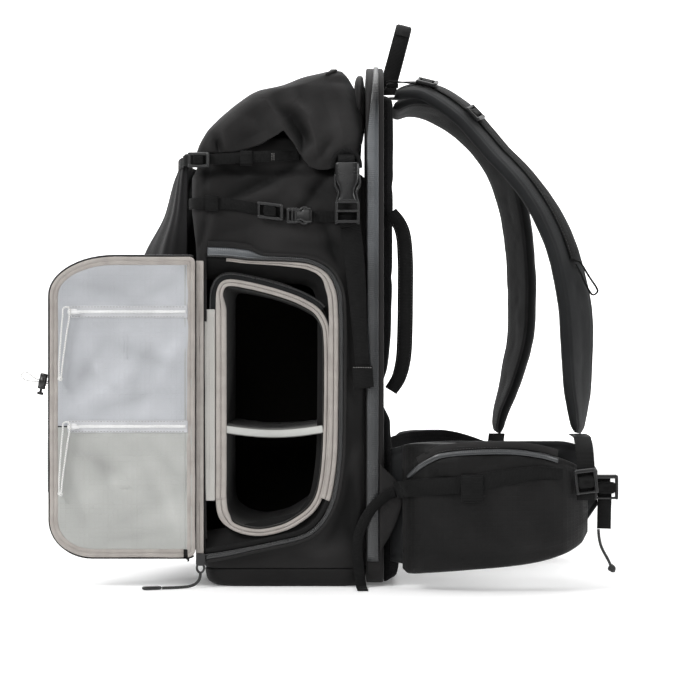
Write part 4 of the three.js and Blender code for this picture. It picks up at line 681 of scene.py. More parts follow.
def bagCloth(size):
    # Level rings read from the rows, pressed in by folds and noise; the side opening's quads are left out
    up = np.r_[0, np.linspace(0.002, 1, 150)]
    read = lambda key: column(bagRows, bagNames, key, up)
    z = size["lowZ"] + up * (size["topZ"] - size["lowZ"])
    grid = levelRings(size["rearX"] - read("reach") * size["depth"], size["rearX"] - read("rear") * size["depth"],
                      read("half") * size["width"] / 2, read("corner") * size["corner"], z)
    x, y, zz = np.moveaxis(grid.copy(), -1, 0)
    calm = easing(distanceTo(x, zz, outlineFine), 3, 16)
    sides = easing(np.abs(y), 80, 122) * easing(zz, 22, 34)
    press = folds(x, zz, bagFolds) + 0.9 * softNoise(grid, 38, 2) + 0.5 * softNoise(grid, 17, 5) + 0.8
    press = press * sides * np.where(y < 0, calm, 1)
    grid[..., 1] -= np.sign(y) * np.maximum(press, -0.6)
    # painted shade in the folds and painted light where the cloth stands out, painted light on the near side's upper
    # part, darker towards the near side's rear edge and a little darker overall, plus random mottle
    tone = (foldShading(press, 0.2) + 0.2 * easing(zz, 330, 440) * (y < 0) - 0.25 * easing(x, 20, 50) * (y < 0)
            - 0.12 + 0.22 * softNoise(grid, 55, 12))
    frontSide = easing(-x, 104, 118) * easing(zz, 24, 50)
    grid[..., 0] += frontSide * (1.6 + 1.4 * softNoise(grid, 42, 7) + 0.8 * softNoise(grid, 16, 9))
    middle = np.array([-25.0, 0, 0])
    floor = [middle + (grid[0] - middle) * [s, s, 1] for s in (0.02, 0.5)]
    grid = np.concatenate([np.array(floor), grid])
    tone = np.concatenate([np.zeros((2, grid.shape[1])), tone])
    after = np.roll(grid, -1, 1)
    centre = (grid[:-1] + after[:-1] + grid[1:] + after[1:]) / 4
    keep = ~(inside(centre[..., 0], centre[..., 2], outlineFine) & (centre[..., 1] < -100))
    return surface("bagCloth", grid, mainCloth, "main_fabric", wrapCols=True, facing=(0, 0, 0), keep=keep, tone=tone)


def faceOut(piece, middle):
    # Turns an open shell so that most faces point away from its middle
    mesh = piece.data
    count = len(mesh.polygons)
    normal, centre = np.empty(count * 3), np.empty(count * 3)
    mesh.polygons.foreach_get("normal", normal)
    mesh.polygons.foreach_get("center", centre)
    out = centre.reshape(-1, 3) - np.array(middle) * mm
    if (normal.reshape(-1, 3) * out).sum() < 0:
        mesh.flip_normals()
    return piece


shell = faceOut(bagCloth(bagSize), (-25, 0, 250))
wall(shell, bagSize["cloth"])
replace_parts(shell, "pack_shell")
print("bag cloth done")

# Base tray
baseRows = [(0, 0.86, 0.93, 2), (0.35, 0.9, 0.96, 1.6), (1, 0.912, 0.97, 1.4)]


def basePiece():
    # Shallow tray: level rings whose lowest ones shrink to a rounded foot
    names = ["up", "reach", "half", "corner"]
    up = np.array([0, 0.0, 0.04, 0.12, 0.25, 0.45, 0.7, 0.92, 1, 1.04])
    read = lambda key: column(baseRows, names, key, np.clip(up, 0, 1))
    shrink = np.array([30, 3.2, 1.2, 0.3, 0, 0, 0, 0, 0.8, 3.0])
    z = np.array([0, 0, 0.5, 2, 5, 9, 14, 18.4, 19.6, 19.9])
    rear = np.full(len(up), bagSize["rearX"]) - shrink
    grid = levelRings(bagSize["rearX"] - read("reach") * bagSize["depth"] + shrink, rear,
                      read("half") * bagSize["width"] / 2 - shrink, read("corner") * bagSize["corner"], z, near=60)
    soft = 0.5 * softNoise(grid, 22, 4) * easing(z, 1, 6)[:, None]
    grid[..., 1] -= np.sign(grid[..., 1]) * np.abs(soft)
    return tube("baseTray", grid, mainCloth, slot="main_fabric", tone=np.full(grid.shape[:2], -0.45))


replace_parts(basePiece(), "base_panel")

# Rolled top
hoodSize = {"rimZ": 450, "topZ": 566, "depth": 178, "rearX": 60.5, "corner": 16, "cloth": 1.8}
hoodNames = ["up", "reach", "rear", "half", "corner"]
hoodRows = [
    (0, 0.997, 0, 0.997, 1), (0.18, 0.997, 0, 1, 1.1), (0.38, 0.943, 0.02, 0.99, 1.3),
    (0.51, 0.876, 0.022, 0.97, 1.6), (0.62, 0.8, 0.02, 0.95, 1.8), (0.69, 0.748, 0.014, 0.935, 1.9),
    (0.8, 0.643, -0.014, 0.91, 2), (0.86, 0.5, -0.03, 0.89, 2), (0.95, 0.34, -0.06, 0.85, 1.5),
    (1, 0.21, -0.09, 0.8, 0.8),
]
hoodRim = [(-0.2, 0.14), (0.12, 0.07), (0.19, 0.028), (0.245, 0.03), (0.30, 0.06), (0.335, 0.12), (0.395, 0.27),
           (0.46, 0.4), (0.52, 0.34), (0.6, 0.27), (0.68, 0.225), (0.77, 0.19), (1.2, 0.19)]
hoodFolds = [  # the peak's crest and the two valleys behind it, then tucks and slow waves
    (-47, 537, -20, 500, 8, -5.5, 0.7), (-20, 500, 2, 466, 6, -3.5, 0.6), (-34, 520, -2, 512, 9, 3.2, 0.3),
    (-15, 512, 4, 486, 9, 9.5, 0.35), (0, 492, -2, 468, 6, 5, 0.4), (-9, 528, 8, 510, 7, -3.8, 0.6),
    (6, 512, 18, 466, 8, -4.2, 0.6), (-4, 546, 0, 520, 10, 2.6, 0.2), (-94, 490, -91, 472, 4, 6, 0.6),
    (-87, 494, -82, 474, 5, -3.2, 0.4), (-60, 530, -92, 494, 16, -2.6, 0.2), (-38, 498, -72, 482, 12, 2.8, 0.3),
    (-66, 516, -34, 484, 9, -2.2, 0.4), (36, 530, 46, 474, 14, -2.4, 0.1), (22, 560, 46, 512, 9, 2.4, 0.3),
    (30, 484, 14, 463, 6, 3.6, 0.4), (-30, 546, -6, 552, 8, 2.6, 0.4), (18, 540, 34, 500, 10, 2.2, 0.3),
    (-78, 520, -50, 508, 8, 2.0, 0.3), (48, 556, 58, 520, 6, 3.0, 0.3),
]


def hoodCloth(size):
    # Rings from a rim that differs round the bag up to the ridge, with folds; a few rows close the top
    height = size["topZ"] - size["rimZ"]
    steps = 84
    share = np.linspace(0, 1, steps)
    cols = levelRings(*[np.array([1.0])] * 5, near=110, end=34, far=60).shape[1]
    rim = np.full(cols, 0.1)

    def rings(up):
        # One ring a row of up, but up may differ from column to column: each column reads its own height
        flat = np.unique(np.round(np.linspace(0, 1, 400), 5))
        read = lambda key: column(hoodRows, hoodNames, key, flat)
        table = levelRings(size["rearX"] - read("reach") * size["depth"],
                           size["rearX"] + read("rear") * size["depth"] * 1.1, read("half") * bagSize["width"] / 2,
                           read("corner") * size["corner"], size["rimZ"] + flat * height, near=110, end=34, far=60)
        place = up * (len(flat) - 1)
        low = np.clip(np.floor(place).astype(int), 0, len(flat) - 2)
        t = (place - low)[..., None]
        c = np.arange(cols)[None]
        return table[low, c] * (1 - t) + table[low + 1, c] * t

    for _ in range(6):
        at = rings(rim[None])[0]
        across = (size["rearX"] - at[:, 0]) / size["depth"]
        rim = np.interp(across, [r[0] for r in hoodRim], [r[1] for r in hoodRim])
    up = rim[None] + (1 - rim[None]) * share[:, None]
    grid = rings(up)
    x, y, z = np.moveaxis(grid.copy(), -1, 0)
    press = folds(x, z, hoodFolds) + 1.6 * softNoise(grid, 44, 3) + 0.8 * softNoise(grid, 18, 8) + 0.8
    side = easing(np.abs(y), 70, 118)
    grid[..., 1] -= np.sign(y) * press * side
    top = easing(z, 540, 562)
    grid[..., 2] += (1.2 * softNoise(grid, 30, 6) - 1) * top
    grid[..., 0] += easing(-x, 40, 110) * (1.2 * softNoise(grid, 36, 11))
    # painted shade in the folds and painted light where the cloth stands out, plus random mottle
    tone = foldShading(press * side, 0.16) + 0.2 * softNoise(grid, 60, 15)
    ridge = grid[-1]
    middle = ridge.mean(0)
    close = []
    for s, lift in ((0.7, -0.4), (0.4, -1.2), (0.02, -2.2)):
        row = ridge.copy()
        row[:, 0] = middle[0] + (ridge[:, 0] - middle[0]) * s
        row[:, 1] = np.clip(ridge[:, 1], -118 + 4 * (1 - s), 118 - 4 * (1 - s))
        row[:, 2] += lift
        close.append(row)
    return np.concatenate([grid, np.array(close)]), np.concatenate([tone, np.zeros((3, cols))])


hoodGrid, hoodTone = hoodCloth(hoodSize)
hood = faceOut(surface("hoodCloth", hoodGrid, mainCloth, wrapCols=True, facing=(0, 0, 1), slot="main_fabric",
                       tone=hoodTone), (-20, 0, 470))
wall(hood, hoodSize["cloth"])
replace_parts(hood, "roll_top_hood")


def softRoll(name, at, halfWide, halfTall, reach, finish, slot, lumps=1.2, seed=4):
    # A crumpled roll of cloth lying across the bag: rings of a superellipse along Y, closed towards both ends
    y = np.linspace(-reach, reach, 60)
    a = np.arange(40) / 40 * 2 * np.pi
    close = np.sqrt(np.clip(1 - (np.abs(y) / reach) ** 8, 0.02, 1))[:, None]
    x = at[0] + power(np.cos(a), 0.7) * halfWide * close
    z = at[1] + power(np.sin(a), 0.7) * halfTall * close
    grid = np.stack([x, np.broadcast_to(y[:, None], x.shape), z], -1)
    grid += lumps * softNoise(grid, 9, seed)[..., None] * np.array([0.5, 0, 0.5])
    return tube(name, grid, finish, slot)


softRoll("hoodGusset", (61.6, 533), 6.4, 31, 130, mainCloth, "main_fabric")
print("hood done")

# Front stretch pocket
pocketSize = {"lowZ": 26, "height": 448, "width": 250, "reach": 62, "wall": 2.2, "backX": -127.9}
pocketNames = ["up", "reach", "half"]
pocketRows = [(0, 0.06, 0.9), (0.05, 0.3, 0.95), (0.2, 0.72, 1), (0.5, 1, 1), (0.73, 0.9, 1), (0.86, 0.47, 0.98),
              (0.95, 0.3, 0.94), (1, 0.12, 0.92)]


def frontPocketCloth(size):
    # Half ellipses stacked upwards, gathered by cosine pleats that fade at both sides
    up = np.linspace(0, 1, 120)
    reach = column(pocketRows, pocketNames, "reach", up)[:, None] * size["reach"] + size["wall"]
    half = column(pocketRows, pocketNames, "half", up)[:, None] * size["width"] / 2
    share = np.linspace(0, 1, 150)[None]
    angle = np.pi / 2 + share * np.pi
    z = size["lowZ"] + up[:, None] * size["height"] + 0 * share
    slow = np.stack([share * 9 + 0 * up[:, None], up[:, None] * 5 + 0 * share, 0 * z], -1)
    fine = 0.03 * np.cos(angle * 19 + 3 * softNoise(slow, 1.4, 4)) * easing(up, 0.5, 0.95)[:, None]
    pleat = 0.05 * np.cos(angle * 8) + fine
    wave = 1 - (pleat + 0.035 * softNoise(slow, 1.1, 6)) * np.sin(share * np.pi)
    grid = np.stack([size["backX"] + reach * np.cos(angle) * wave, half * np.sin(angle) * wave, z], -1)
    bottom = grid[:1].copy()
    bottom[..., 0] = size["backX"] - 0.5
    # painted shade in the pleats' hollows and painted light on their crests
    tone = np.clip(-9 * (pleat + 0.02) * np.sin(share * np.pi) ** 0.5, -0.8, 0.8) + 0 * z
    return np.concatenate([bottom, grid]), np.concatenate([tone[:1], tone])


pocketGrid, pocketTone = frontPocketCloth(pocketSize)
pocket = surface("frontPocketCloth", pocketGrid, stretchCloth, facing=(-1, 0, 0), slot="stretch_fabric",
                 tone=pocketTone)
wall(pocket, pocketSize["wall"])
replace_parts(pocket, "front_pocket")
print("front pocket done")

# Rear compartment: a slab of padded cloth with rounded top corners
rearSize = {"half": 146, "lowZ": 2.5, "topZ": 571, "inX": 68.4, "outX": 87.9, "lowCorner": 20, "topCorner": 55}


def slabOutline(size, inset, count=(60, 14, 90)):
    # Rounded rectangle in Y and Z, from the near side's foot round over the top to the far foot and back
    half, low, top = size["half"] - inset, size["lowZ"] + inset, size["topZ"] - inset
    lowCorner, topCorner = max(size["lowCorner"] - inset, 1), max(size["topCorner"] - inset, 1)
    flat, turn, up = count

    def bend(cy, cz, start, radius):
        a = start + np.arange(turn) / turn * np.pi / 2
        return np.stack([cy + radius * np.cos(a), cz + radius * np.sin(a)], 1)

    def line(y0, z0, y1, z1, n):
        s = np.arange(n)[:, None] / n
        return np.array([[y0, z0]]) * (1 - s) + np.array([[y1, z1]]) * s

    return np.concatenate([
        line(half, low + lowCorner, half, top - topCorner, up), bend(half - topCorner, top - topCorner, 0, topCorner),
        line(half - topCorner, top, -half + topCorner, top, flat),
        bend(-half + topCorner, top - topCorner, np.pi / 2, topCorner),
        line(-half, top - topCorner, -half, low + lowCorner, up),
        bend(-half + lowCorner, low + lowCorner, np.pi, lowCorner),
        line(-half + lowCorner, low, half - lowCorner, low, flat),
        bend(half - lowCorner, low + lowCorner, np.pi * 1.5, lowCorner)])


def rearSlab(size):
    # The outline carried from face to face, inset near both, with a soft wave
    span = size["outX"] - size["inX"]
    levels = [(0, 60), (0, 14), (0, 4), (0.02, 1.2), (0.06, 0.2), (0.2, 0), (0.5, 0), (0.8, 0), (0.94, 0.4),
              (0.98, 1.6), (1, 4), (1, 14), (1, 60)]
    grid = []
    for share, inset in levels:
        ring = slabOutline(size, inset)
        grid.append(np.concatenate([np.full((len(ring), 1), size["inX"] + span * share), ring], 1))
    grid = np.array(grid)
    soft = np.maximum(0.7 * softNoise(grid, 30, 5) + 0.5, 0)
    outward = unit(grid - np.array([78, 0, 290])) * [0, 1, 1]
    return grid - outward * soft[..., None]


slab = tube("rearSlab", rearSlab(rearSize), mainCloth, slot="main_fabric")
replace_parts(slab, "rear_compartment")


def rearZip(size):
    # The coated band follows the slab's edge; across it a shallow crown, one edge tucked in
    ring = slabOutline(size, -0.5)
    z = ring[:, 1]
    start = np.argmin(np.abs(z - 27) + 1e3 * (ring[:, 0] < 0))
    ring = np.roll(ring, -start, 0)
    stop = len(ring) - np.argmax((ring[::-1, 1] > 27) & (ring[::-1, 0] < 0))
    ring = ring[:stop]
    outward = unit(np.stack([np.gradient(ring[:, 1]), -np.gradient(ring[:, 0])], 1))
    outward *= np.sign((outward * (ring - [0, 300])).sum(1, keepdims=True))
    wide = np.interp(ring[:, 1], [26, 490, 545, 571], [12.6, 12.6, 7, 5])
    profile = [(0, 0), (0.02, 0.7), (0.08, 0.9), (0.3, 1.25), (0.42, 1.5), (0.5, 1.35), (0.58, 1.5), (0.7, 1.25),
               (0.92, 0.9), (0.98, 0.7), (1, 0)]
    rows = [np.concatenate([(82.2 - wide + wide * s)[:, None], ring + outward * up], 1) for s, up in profile]
    grid = np.array(rows).transpose(1, 0, 2)
    back = grid[:, ::-1] - np.concatenate([np.zeros((len(ring), 1)), outward], 1)[:, None] * 0.3
    grid = np.concatenate([grid, back[:, 1:-1]], 1)
    z = grid[..., 2]
    # painted highlight along the band's upper middle; darker towards its top and its foot
    paintedHighlight = easing(z, 330, 400) * (1 - easing(z, 490, 530))
    return grid, 2.2 * paintedHighlight - 0.75 * easing(z, 505, 545) - 0.3 * (1 - easing(z, 60, 200))


zipGrid, zipTone = rearZip(rearSize)
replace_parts(tube("rearZipBand", zipGrid, coatedZipper, slot="coated_zipper", tone=zipTone),
            "rear_zip")

# Side opening: outline points with Y, then bands beside it
nearY = -150.0


def outlineWay(points, count=240):
    # The opening's outline from the top front corner round to the bottom front corner, with outward vectors
    at = smoothLine(points[::-1], count)
    along = unit(np.gradient(at, axis=0))
    return at, np.stack([-along[:, 1], along[:, 0]], 1)


def bandAlong(name, at, out, near, far, y, thick, finish, slot, crown=0.3, steps=5, rough=0.0, tone=None):
    # A band between two distances beside a run in X and Z; near and far may change along it
    near, far = np.broadcast_to(near, len(at)), np.broadcast_to(far, len(at))
    shares = np.linspace(0, 1, steps)
    top, under = [], []
    for s in shares:
        side = near + (far - near) * s
        p = at + out * side[:, None]
        lift = crown * (1 - (2 * s - 1) ** 2)
        wave = rough * softNoise(np.stack([p[:, 0], p[:, 1], 0 * p[:, 0]], 1), 9, 3)
        top.append(np.stack([p[:, 0], np.full(len(at), y - thick) - lift + wave, p[:, 1]], 1))
        under.append(np.stack([p[:, 0], np.full(len(at), y), p[:, 1]], 1))
    grid = np.array(top + under[::-1]).transpose(1, 0, 2)
    if tone is not None:
        tone = np.broadcast_to(np.asarray(tone)[:, None], grid.shape[:2])
    return tube(name, grid, finish, slot, tone=tone)


def coilAlong(name, at, y, finish, slot, width=2.6, height=1.1, pitch=1.6):
    # A zipper's coil: a rounded ridge whose height and width swell once every tooth
    run = runOf(at)
    steps = int(run[-1] / pitch * 4)
    s = np.linspace(0, run[-1], steps)
    p = np.stack([np.interp(s, run, at[:, k]) for k in (0, 1)], 1)
    along = unit(np.gradient(p, axis=0))
    out = np.stack([-along[:, 1], along[:, 0]], 1)
    swell = 0.82 + 0.18 * np.cos(s / pitch * 2 * np.pi)
    a = np.arange(9) / 8 * np.pi
    rows = [np.stack([p[:, 0] + out[:, 0] * math.cos(t) * width / 2 * swell, y - math.sin(t) * height * swell,
                      p[:, 1] + out[:, 1] * math.cos(t) * width / 2 * swell], 1) for t in a]
    grid = np.array(rows).transpose(1, 0, 2)
    piece = surface(name, grid, finish, facing=nearSide, slot=slot)
    return wall(piece, 0.3)


def opening():
    # Zipper band, lip and pale binding beside the outline, and dark cloth, painted shade, that sinks inwards from it
    at, out = outlineWay(openingOutline)
    out = out * np.sign((out * (at - [-35, 200])).sum())
    # the run starts at the front of the top edge, where the coated part lies
    run = runOf(at)
    share = run / run[-1]
    wide = 2.6 + 5.8 * (1 - easing(run, 44, 66)) + 1.2 * easing(share, 0.9, 0.96)
    kept = share > 0.004
    a, o, w, run = at[kept], out[kept], wide[kept], run[kept]
    # the coated part at the front of the top edge is brightened as a painted highlight; past it the band is darker
    band = bandAlong("openingZipBand", a, o, -0.8, w, nearY - 0.3, 1.2, coatedZipper, "coated_zipper", crown=0.5,
                     tone=1.9 - 2.6 * easing(run, 40, 75))
    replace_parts(band, "opening_zip")
    coilAlong("openingCoil", a - o * 1.1, nearY - 1.0, blackCoil, "coated_zipper", 2.4, 1.3, 1.7)
    bandAlong("openingLip", a, o, w + 0.2, w + 3.6 + 3.0 * (1 - easing(run, 40, 70)), nearY + 0.6, 2.6, mainCloth,
              "main_fabric", crown=0.6, rough=0.3)
    # pale binding inside: thin along the top, wide down the rear edge, gone along the foot
    x, z = at[:, 0], at[:, 1]
    top = easing(z, 325, 352)
    width = np.where(x > 20, 10.5, 3.6 + 3.2 * easing(x, -70, 0))
    width = width * (1 - top) + np.minimum(width, 3.6 + 3.4 * easing(x, -60, 25)) * top
    chosen = (z > 92) & (x > -84)
    a, o, w = at[chosen], out[chosen], width[chosen]
    rolls = [bandAlong("openingEdge", a, o, -2.6, -2.6 - w * 0.5, nearY + 1.6, 1.2, paleBinding, "pale_binding", 0.5),
             bandAlong("openingEdgeInner", a, o, -2.6 - w * 0.52, -2.6 - w, nearY + 2.4, 1.1, paleBinding,
                       "pale_binding", 0.6)]
    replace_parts(joined("openingBinding", rolls), "opening_binding")
    foot = z <= 96
    # dark cloth along the foot of the opening: painted shade
    bandAlong("openingFootEdge", at[foot], out[foot], -1.8, -8, nearY + 2.0, 1.2, shadeCloth, "main_fabric", 0.5)
    rows = []
    for inset, depth in ((2, 0.5), (7, 4.5), (12, 9), (18, 13), (26, 16)):
        q = at - out * inset
        y = nearY + depth + 1.2 * softNoise(np.stack([q[:, 0], q[:, 1], 0 * q[:, 0] + inset], 1), 14, 4)
        rows.append(np.stack([q[:, 0], y, q[:, 1]], 1))
    dark = surface("openingDarkRound", np.array(rows).transpose(1, 0, 2), shadeCloth, "main_fabric",
                   facing=nearSide)
    wall(dark, 1.2)


opening()
print("opening done")

# Cube: padded walls as one ring carried from the back, round the rim, to the inner back
cubeSize = {"mouthY": -145, "backY": 95, "wall": 9}
cubeContour = [
    (-95.0, 95), (-92, 77), (-83.5, 66.5), (-68, 58.5), (-45.6, 55.5), (-20, 61), (-2, 70.5), (12, 82), (20.5, 96),
    (25.4, 116), (28.4, 145), (30, 190), (30.4, 240), (29.6, 272), (26.6, 288), (16.5, 303.5), (-3, 315), (-25, 323),
    (-47, 329), (-66, 333), (-80, 334.6), (-89, 331.5), (-93.6, 323), (-95, 308), (-95, 250), (-95, 180), (-95, 125),
]


def cornerOutline(low, high, corners, inset=0.0, turn=10, flat=14):
    # Rectangle in X and Z whose corners have their own reach along X and Z; counter-clockwise from the low left
    x0, z0, x1, z1 = low[0] + inset, low[1] + inset, high[0] - inset, high[1] - inset
    spec = [(x1, z0, corners["lowRight"], -1, 1, -90), (x1, z1, corners["topRight"], -1, -1, 0),
            (x0, z1, corners["topLeft"], 1, -1, 90), (x0, z0, corners["lowLeft"], 1, 1, 180)]
    points = []
    for x, z, (rx, rz), sx, sz, start in spec:
        rx, rz = max(rx - inset, 0.6), max(rz - inset, 0.6)
        a = np.radians(start + np.linspace(0, 90, turn))
        points.append(np.stack([x + sx * rx + rx * np.cos(a), z + sz * rz + rz * np.sin(a)], 1))
    full = []
    for i, bend in enumerate(points):
        after = points[(i + 1) % 4][0]
        s = (np.arange(1, flat) / flat)[:, None]
        full += [bend, bend[-1] * (1 - s) + after * s]
    return np.concatenate(full)


cubeLine = smoothLine(cubeContour, 190, closed=True)


def cubeWay(offset):
    # The contour moved outwards along its own normals by an amount that may change along it
    along = unit(np.roll(cubeLine, -1, 0) - np.roll(cubeLine, 1, 0))
    out = np.stack([along[:, 1], -along[:, 0]], 1)
    for _ in range(4):
        out = unit(out + np.roll(out, 1, 0) + np.roll(out, -1, 0))
    return cubeLine + out * np.broadcast_to(offset, len(cubeLine))[:, None], out


def cubeRing(offset, y, shrink=1.0):
    # The contour offset, shrunk towards its middle and set at one Y
    p, _ = cubeWay(offset)
    p = p * shrink + np.array([-32, 195]) * (1 - shrink)
    return np.stack([p[:, 0], np.full(len(p), float(y)), p[:, 1]], 1)


def cube():
    # Rings from the outer back round the rim to the inner back, then the bindings and the rim's teeth
    mouth, back, thick = cubeSize["mouthY"], cubeSize["backY"], cubeSize["wall"]
    topShare = easing(cubeLine[:, 1], 285, 322)
    outer = 0.6 + 7.0 * topShare
    steps = [(0, back, 0.1), (0, back, 0.9), (outer - 3, back, 1), (outer - 0.6, back - 1.5, 1), (outer, back - 5, 1)]
    steps += [(outer, back - 5 + (mouth + 4 - back + 5) * t, 1) for t in np.linspace(0.08, 1, 12)]
    steps += [(outer - 0.8, mouth + 1.6, 1), (outer - 2.4, mouth + 0.4, 1), (outer - 5, mouth - 0.2, 1),
              (-thick + 2, mouth + 0.2, 1), (-thick + 0.6, mouth + 1.4, 1), (-thick, mouth + 4, 1)]
    steps += [(-thick - 1.2 * math.sin(t * 3.1), mouth + 4 + (back - thick - mouth - 4) * t, 1)
              for t in np.linspace(0.08, 1, 16)]
    steps += [(-thick - 3, back - thick, 1), (-14, back - thick, 0.9), (-14, back - thick, 0.1)]
    grid = np.array([cubeRing(*row) for row in steps])
    grid += 0.7 * softNoise(grid, 30, 7)[..., None] * unit(grid - [-32, 0, 190]) * [1, 0, 1]
    piece = tube("cubeWalls", grid, insideCloth, slot="pad_fabric")
    tube("cubeFoot", [[(x, y, z) for x, z in ((-92.5 + i, 23.3 + i), (14.5 - i, 23.3 + i), (14.5 - i, 54.5 - i),
                                                 (-92.5 + i, 54.5 - i))]
                         for y, i in ((-133, 6), (-133, 2), (-130, 0), (-60, 0), (40, 0), (80, 0), (83, 2), (83, 6))],
            shadeCloth, slot="pad_fabric")
    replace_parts(piece, "camera_cube")
    # pale band on the rim, wider at the front; dark cloth with a tooth line above it
    loop = lambda a: np.concatenate([a, a[:1]])
    at, side = cubeWay(0)
    at, side = loop(at), loop(side)
    x, z = at[:, 0], at[:, 1]
    left = 1 - easing(x, -90, -80)
    inner = 7.4 + 4.4 * left * (1 - easing(z, 300, 322))
    y = cubeSize["mouthY"] + 0.4
    pieces = [bandAlong("cubeBandIn", at, side, -inner * 0.5, -inner, y, 1.5, paleBinding, "pale_binding", 0.9,
                        rough=0.25),
              bandAlong("cubeBandOut", at, side, 0, -inner * 0.5 + 0.2, y, 1.9, paleBinding, "pale_binding", 0.9,
                        rough=0.25)]
    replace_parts(joined("cubeBinding", pieces), "cube_binding")
    top = (z > 300)
    bandAlong("cubeTopRim", at[top], side[top], 7.2, -0.4, y + 1.4, 2.6, strapCloth, "pad_fabric", 1.4, steps=8,
              rough=0.5)
    coilAlong("cubeTopTeeth", at[top] + side[top] * 5.6, y - 2.2, blackCoil, "coated_zipper", 2.2, 1.4, 1.8)


cube()


def divider():
    # A sagging padded board: its rim is a rounded pale edge, its faces are fuzzy cloth
    x = np.linspace(-85.5, 21.5, 44)
    t = (x + 85.5) / 107
    top = 176 - 5 * np.sin(np.pi * t)
    grid = []
    for y, pinch in ((-144, 0.4), (-143.4, 0.8), (-141.5, 1), (-60, 1), (20, 1), (84, 1), (85.6, 0.7)):
        upper = np.stack([x, np.full_like(x, y), top - 4.5 + 4.5 * pinch], 1)
        lower = np.stack([x, np.full_like(x, y), top - 4.5 - 4.5 * pinch], 1)[::-1]
        grid.append(np.concatenate([upper, lower]))
    grid = np.array(grid) + 0.25 * softNoise(np.array(grid), 8, 3)[..., None] * [0, 0, 1]
    under = tube("dividerBoard", grid, dividerUnder, slot="grey_lining")
    rim = webbing("dividerRim", [((px, -144.4, pz - 4.2), nearSide) for px, pz in zip(x, top)], 7.6, 1.0, 90,
                  dividerCloth, "grey_lining")
    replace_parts(joined("dividerPiece", [under, rim]), "cube_divider")


divider()


def plateSoft(name, low, high, corners, y, thick, finish, slot, edge=1.0, bulge=0.0, creases=(), seed=2, noise=0.0,
              columns=60, shade=0.0):
    # A plate in X and Z: rings shrinking inwards make its border, and the face carries creases
    rings, tones = [], []
    insets = [(0, 0.0), (0, 0.5), (edge * 0.3, 0.85), (edge, 1.0)]
    span = min(high[0] - low[0], high[1] - low[1]) / 2
    inner = np.linspace(edge * 2, span * 0.97, columns // 3)
    for inset, up in insets + [(i, 1.0) for i in inner]:
        p = cornerOutline(low, high, corners, inset, 10, 16)
        yy = np.full(len(p), y - thick * up)
        rise = bulge * easing(np.full(len(p), inset), 0, span * 0.8)
        press = folds(p[:, 0], p[:, 1], creases) if len(creases) else 0 * yy
        soft = noise * softNoise(np.stack([p[:, 0], p[:, 1], 0 * yy], 1), 16, seed) if noise else 0
        fade = easing(np.full(len(p), inset), edge * 0.8, edge * 3)
        # painted shade in the creases and painted light on their crests, as strong as shade says
        tones.append(np.clip(-(press + soft) * fade * shade, -0.5, 0.3))
        rings.append(np.stack([p[:, 0], yy - rise + np.clip(press + soft, -2.4, 0.7) * fade, p[:, 1]], 1))
    rings, tones = [rings[0]] + rings, [tones[0] * 0] + tones
    first = cornerOutline(low, high, corners, 2.0, 10, 16)
    rings[0] = np.stack([first[:, 0], np.full(len(first), float(y)), first[:, 1]], 1)
    return tube(name, rings, finish, slot, flatUv=(0, 2), tone=np.array(tones))


square = lambda r: {k: (r, r) for k in ("lowLeft", "lowRight", "topRight", "topLeft")}
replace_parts(plateSoft("hookStrip", (-107.6, 94), (-95.6, 302), square(1.5), nearY + 3.5, 1.6, hookTape, "grey_lining",
                      0.6, noise=0.15), "hook_strip")
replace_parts(plateSoft("hingeStrip", (-116.3, 35.5), (-107.8, 354.5), square(1.5), nearY + 0.2, 1.7, paleBinding,
                      "pale_binding", 0.8, noise=0.25), "door_hinge_strip")
print("cube done")

# Door: panel, rounded binding, two lining pockets, zips with sliders, black zip tape
doorSize = {"low": (-273.745, 33.5), "high": (-116.745, 358.5), "outerY": -148, "innerY": -155}
doorCorners = {"lowLeft": (46, 40), "lowRight": (8, 8), "topRight": (6, 6), "topLeft": (70, 42)}


def within(inset, lowZ=None, highZ=None):
    # The door's rectangle and corners inset, cut flat at a lower or an upper height
    corners = {k: (max(a - inset, 1), max(b - inset, 1)) for k, (a, b) in doorCorners.items()}
    low = [doorSize["low"][0] + inset, doorSize["low"][1] + inset]
    high = [doorSize["high"][0] - inset, doorSize["high"][1] - inset]
    if lowZ is not None:
        low[1], corners["lowLeft"], corners["lowRight"] = lowZ, (1, 1), (1, 1)
    if highZ is not None:
        high[1], corners["topLeft"], corners["topRight"] = highZ, (1, 1), (1, 1)
    return low, high, corners


panelCreases = [(-250, 60, -140, 90, 18, -0.6, 0), (-220, 330, -130, 322, 20, -0.6, 0)]
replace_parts(plateSoft("doorPanel", doorSize["low"], doorSize["high"], doorCorners, doorSize["outerY"], 7, mainCloth,
                      "main_fabric", 2.2, creases=panelCreases, noise=0.3), "door_panel")


def doorRun(offset, limit):
    # The door's outline without its hinge side, from the top round to the foot
    ring = cornerOutline(doorSize["low"], doorSize["high"], doorCorners, -offset, 14, 24)
    order = np.where(ring[:, 0] < limit)[0]
    gap = np.argmax(np.diff(order) > 1) + 1 if (np.diff(order) > 1).any() else 0
    return ring[np.roll(order, -gap)]


def doorEdge():
    # Binding round the door's edge: two rounded rolls with a seam between them, lying over the panel's rim
    ring = doorRun(-4.4, -119)
    at = np.stack([ring[:, 0], np.full(len(ring), -155.4), ring[:, 1]], 1)
    profile = [(-4.5, 0), (-4.6, 0.9), (-3.9, 1.5), (-2.4, 1.75), (-0.3, 1.8), (-0.1, 1.35), (0.2, 1.85), (2.4, 1.8),
               (4, 1.4), (4.6, 0.8), (4.5, 0)]
    grid = carried(at, nearSide, profile)
    grid += 0.3 * softNoise(grid, 7, 3)[..., None] * [0, 1, 0] + 0.35 * softNoise(grid, 21, 8)[..., None] * [1, 0, 1]
    return tube("doorBinding", grid, paleBinding, slot="pale_binding")


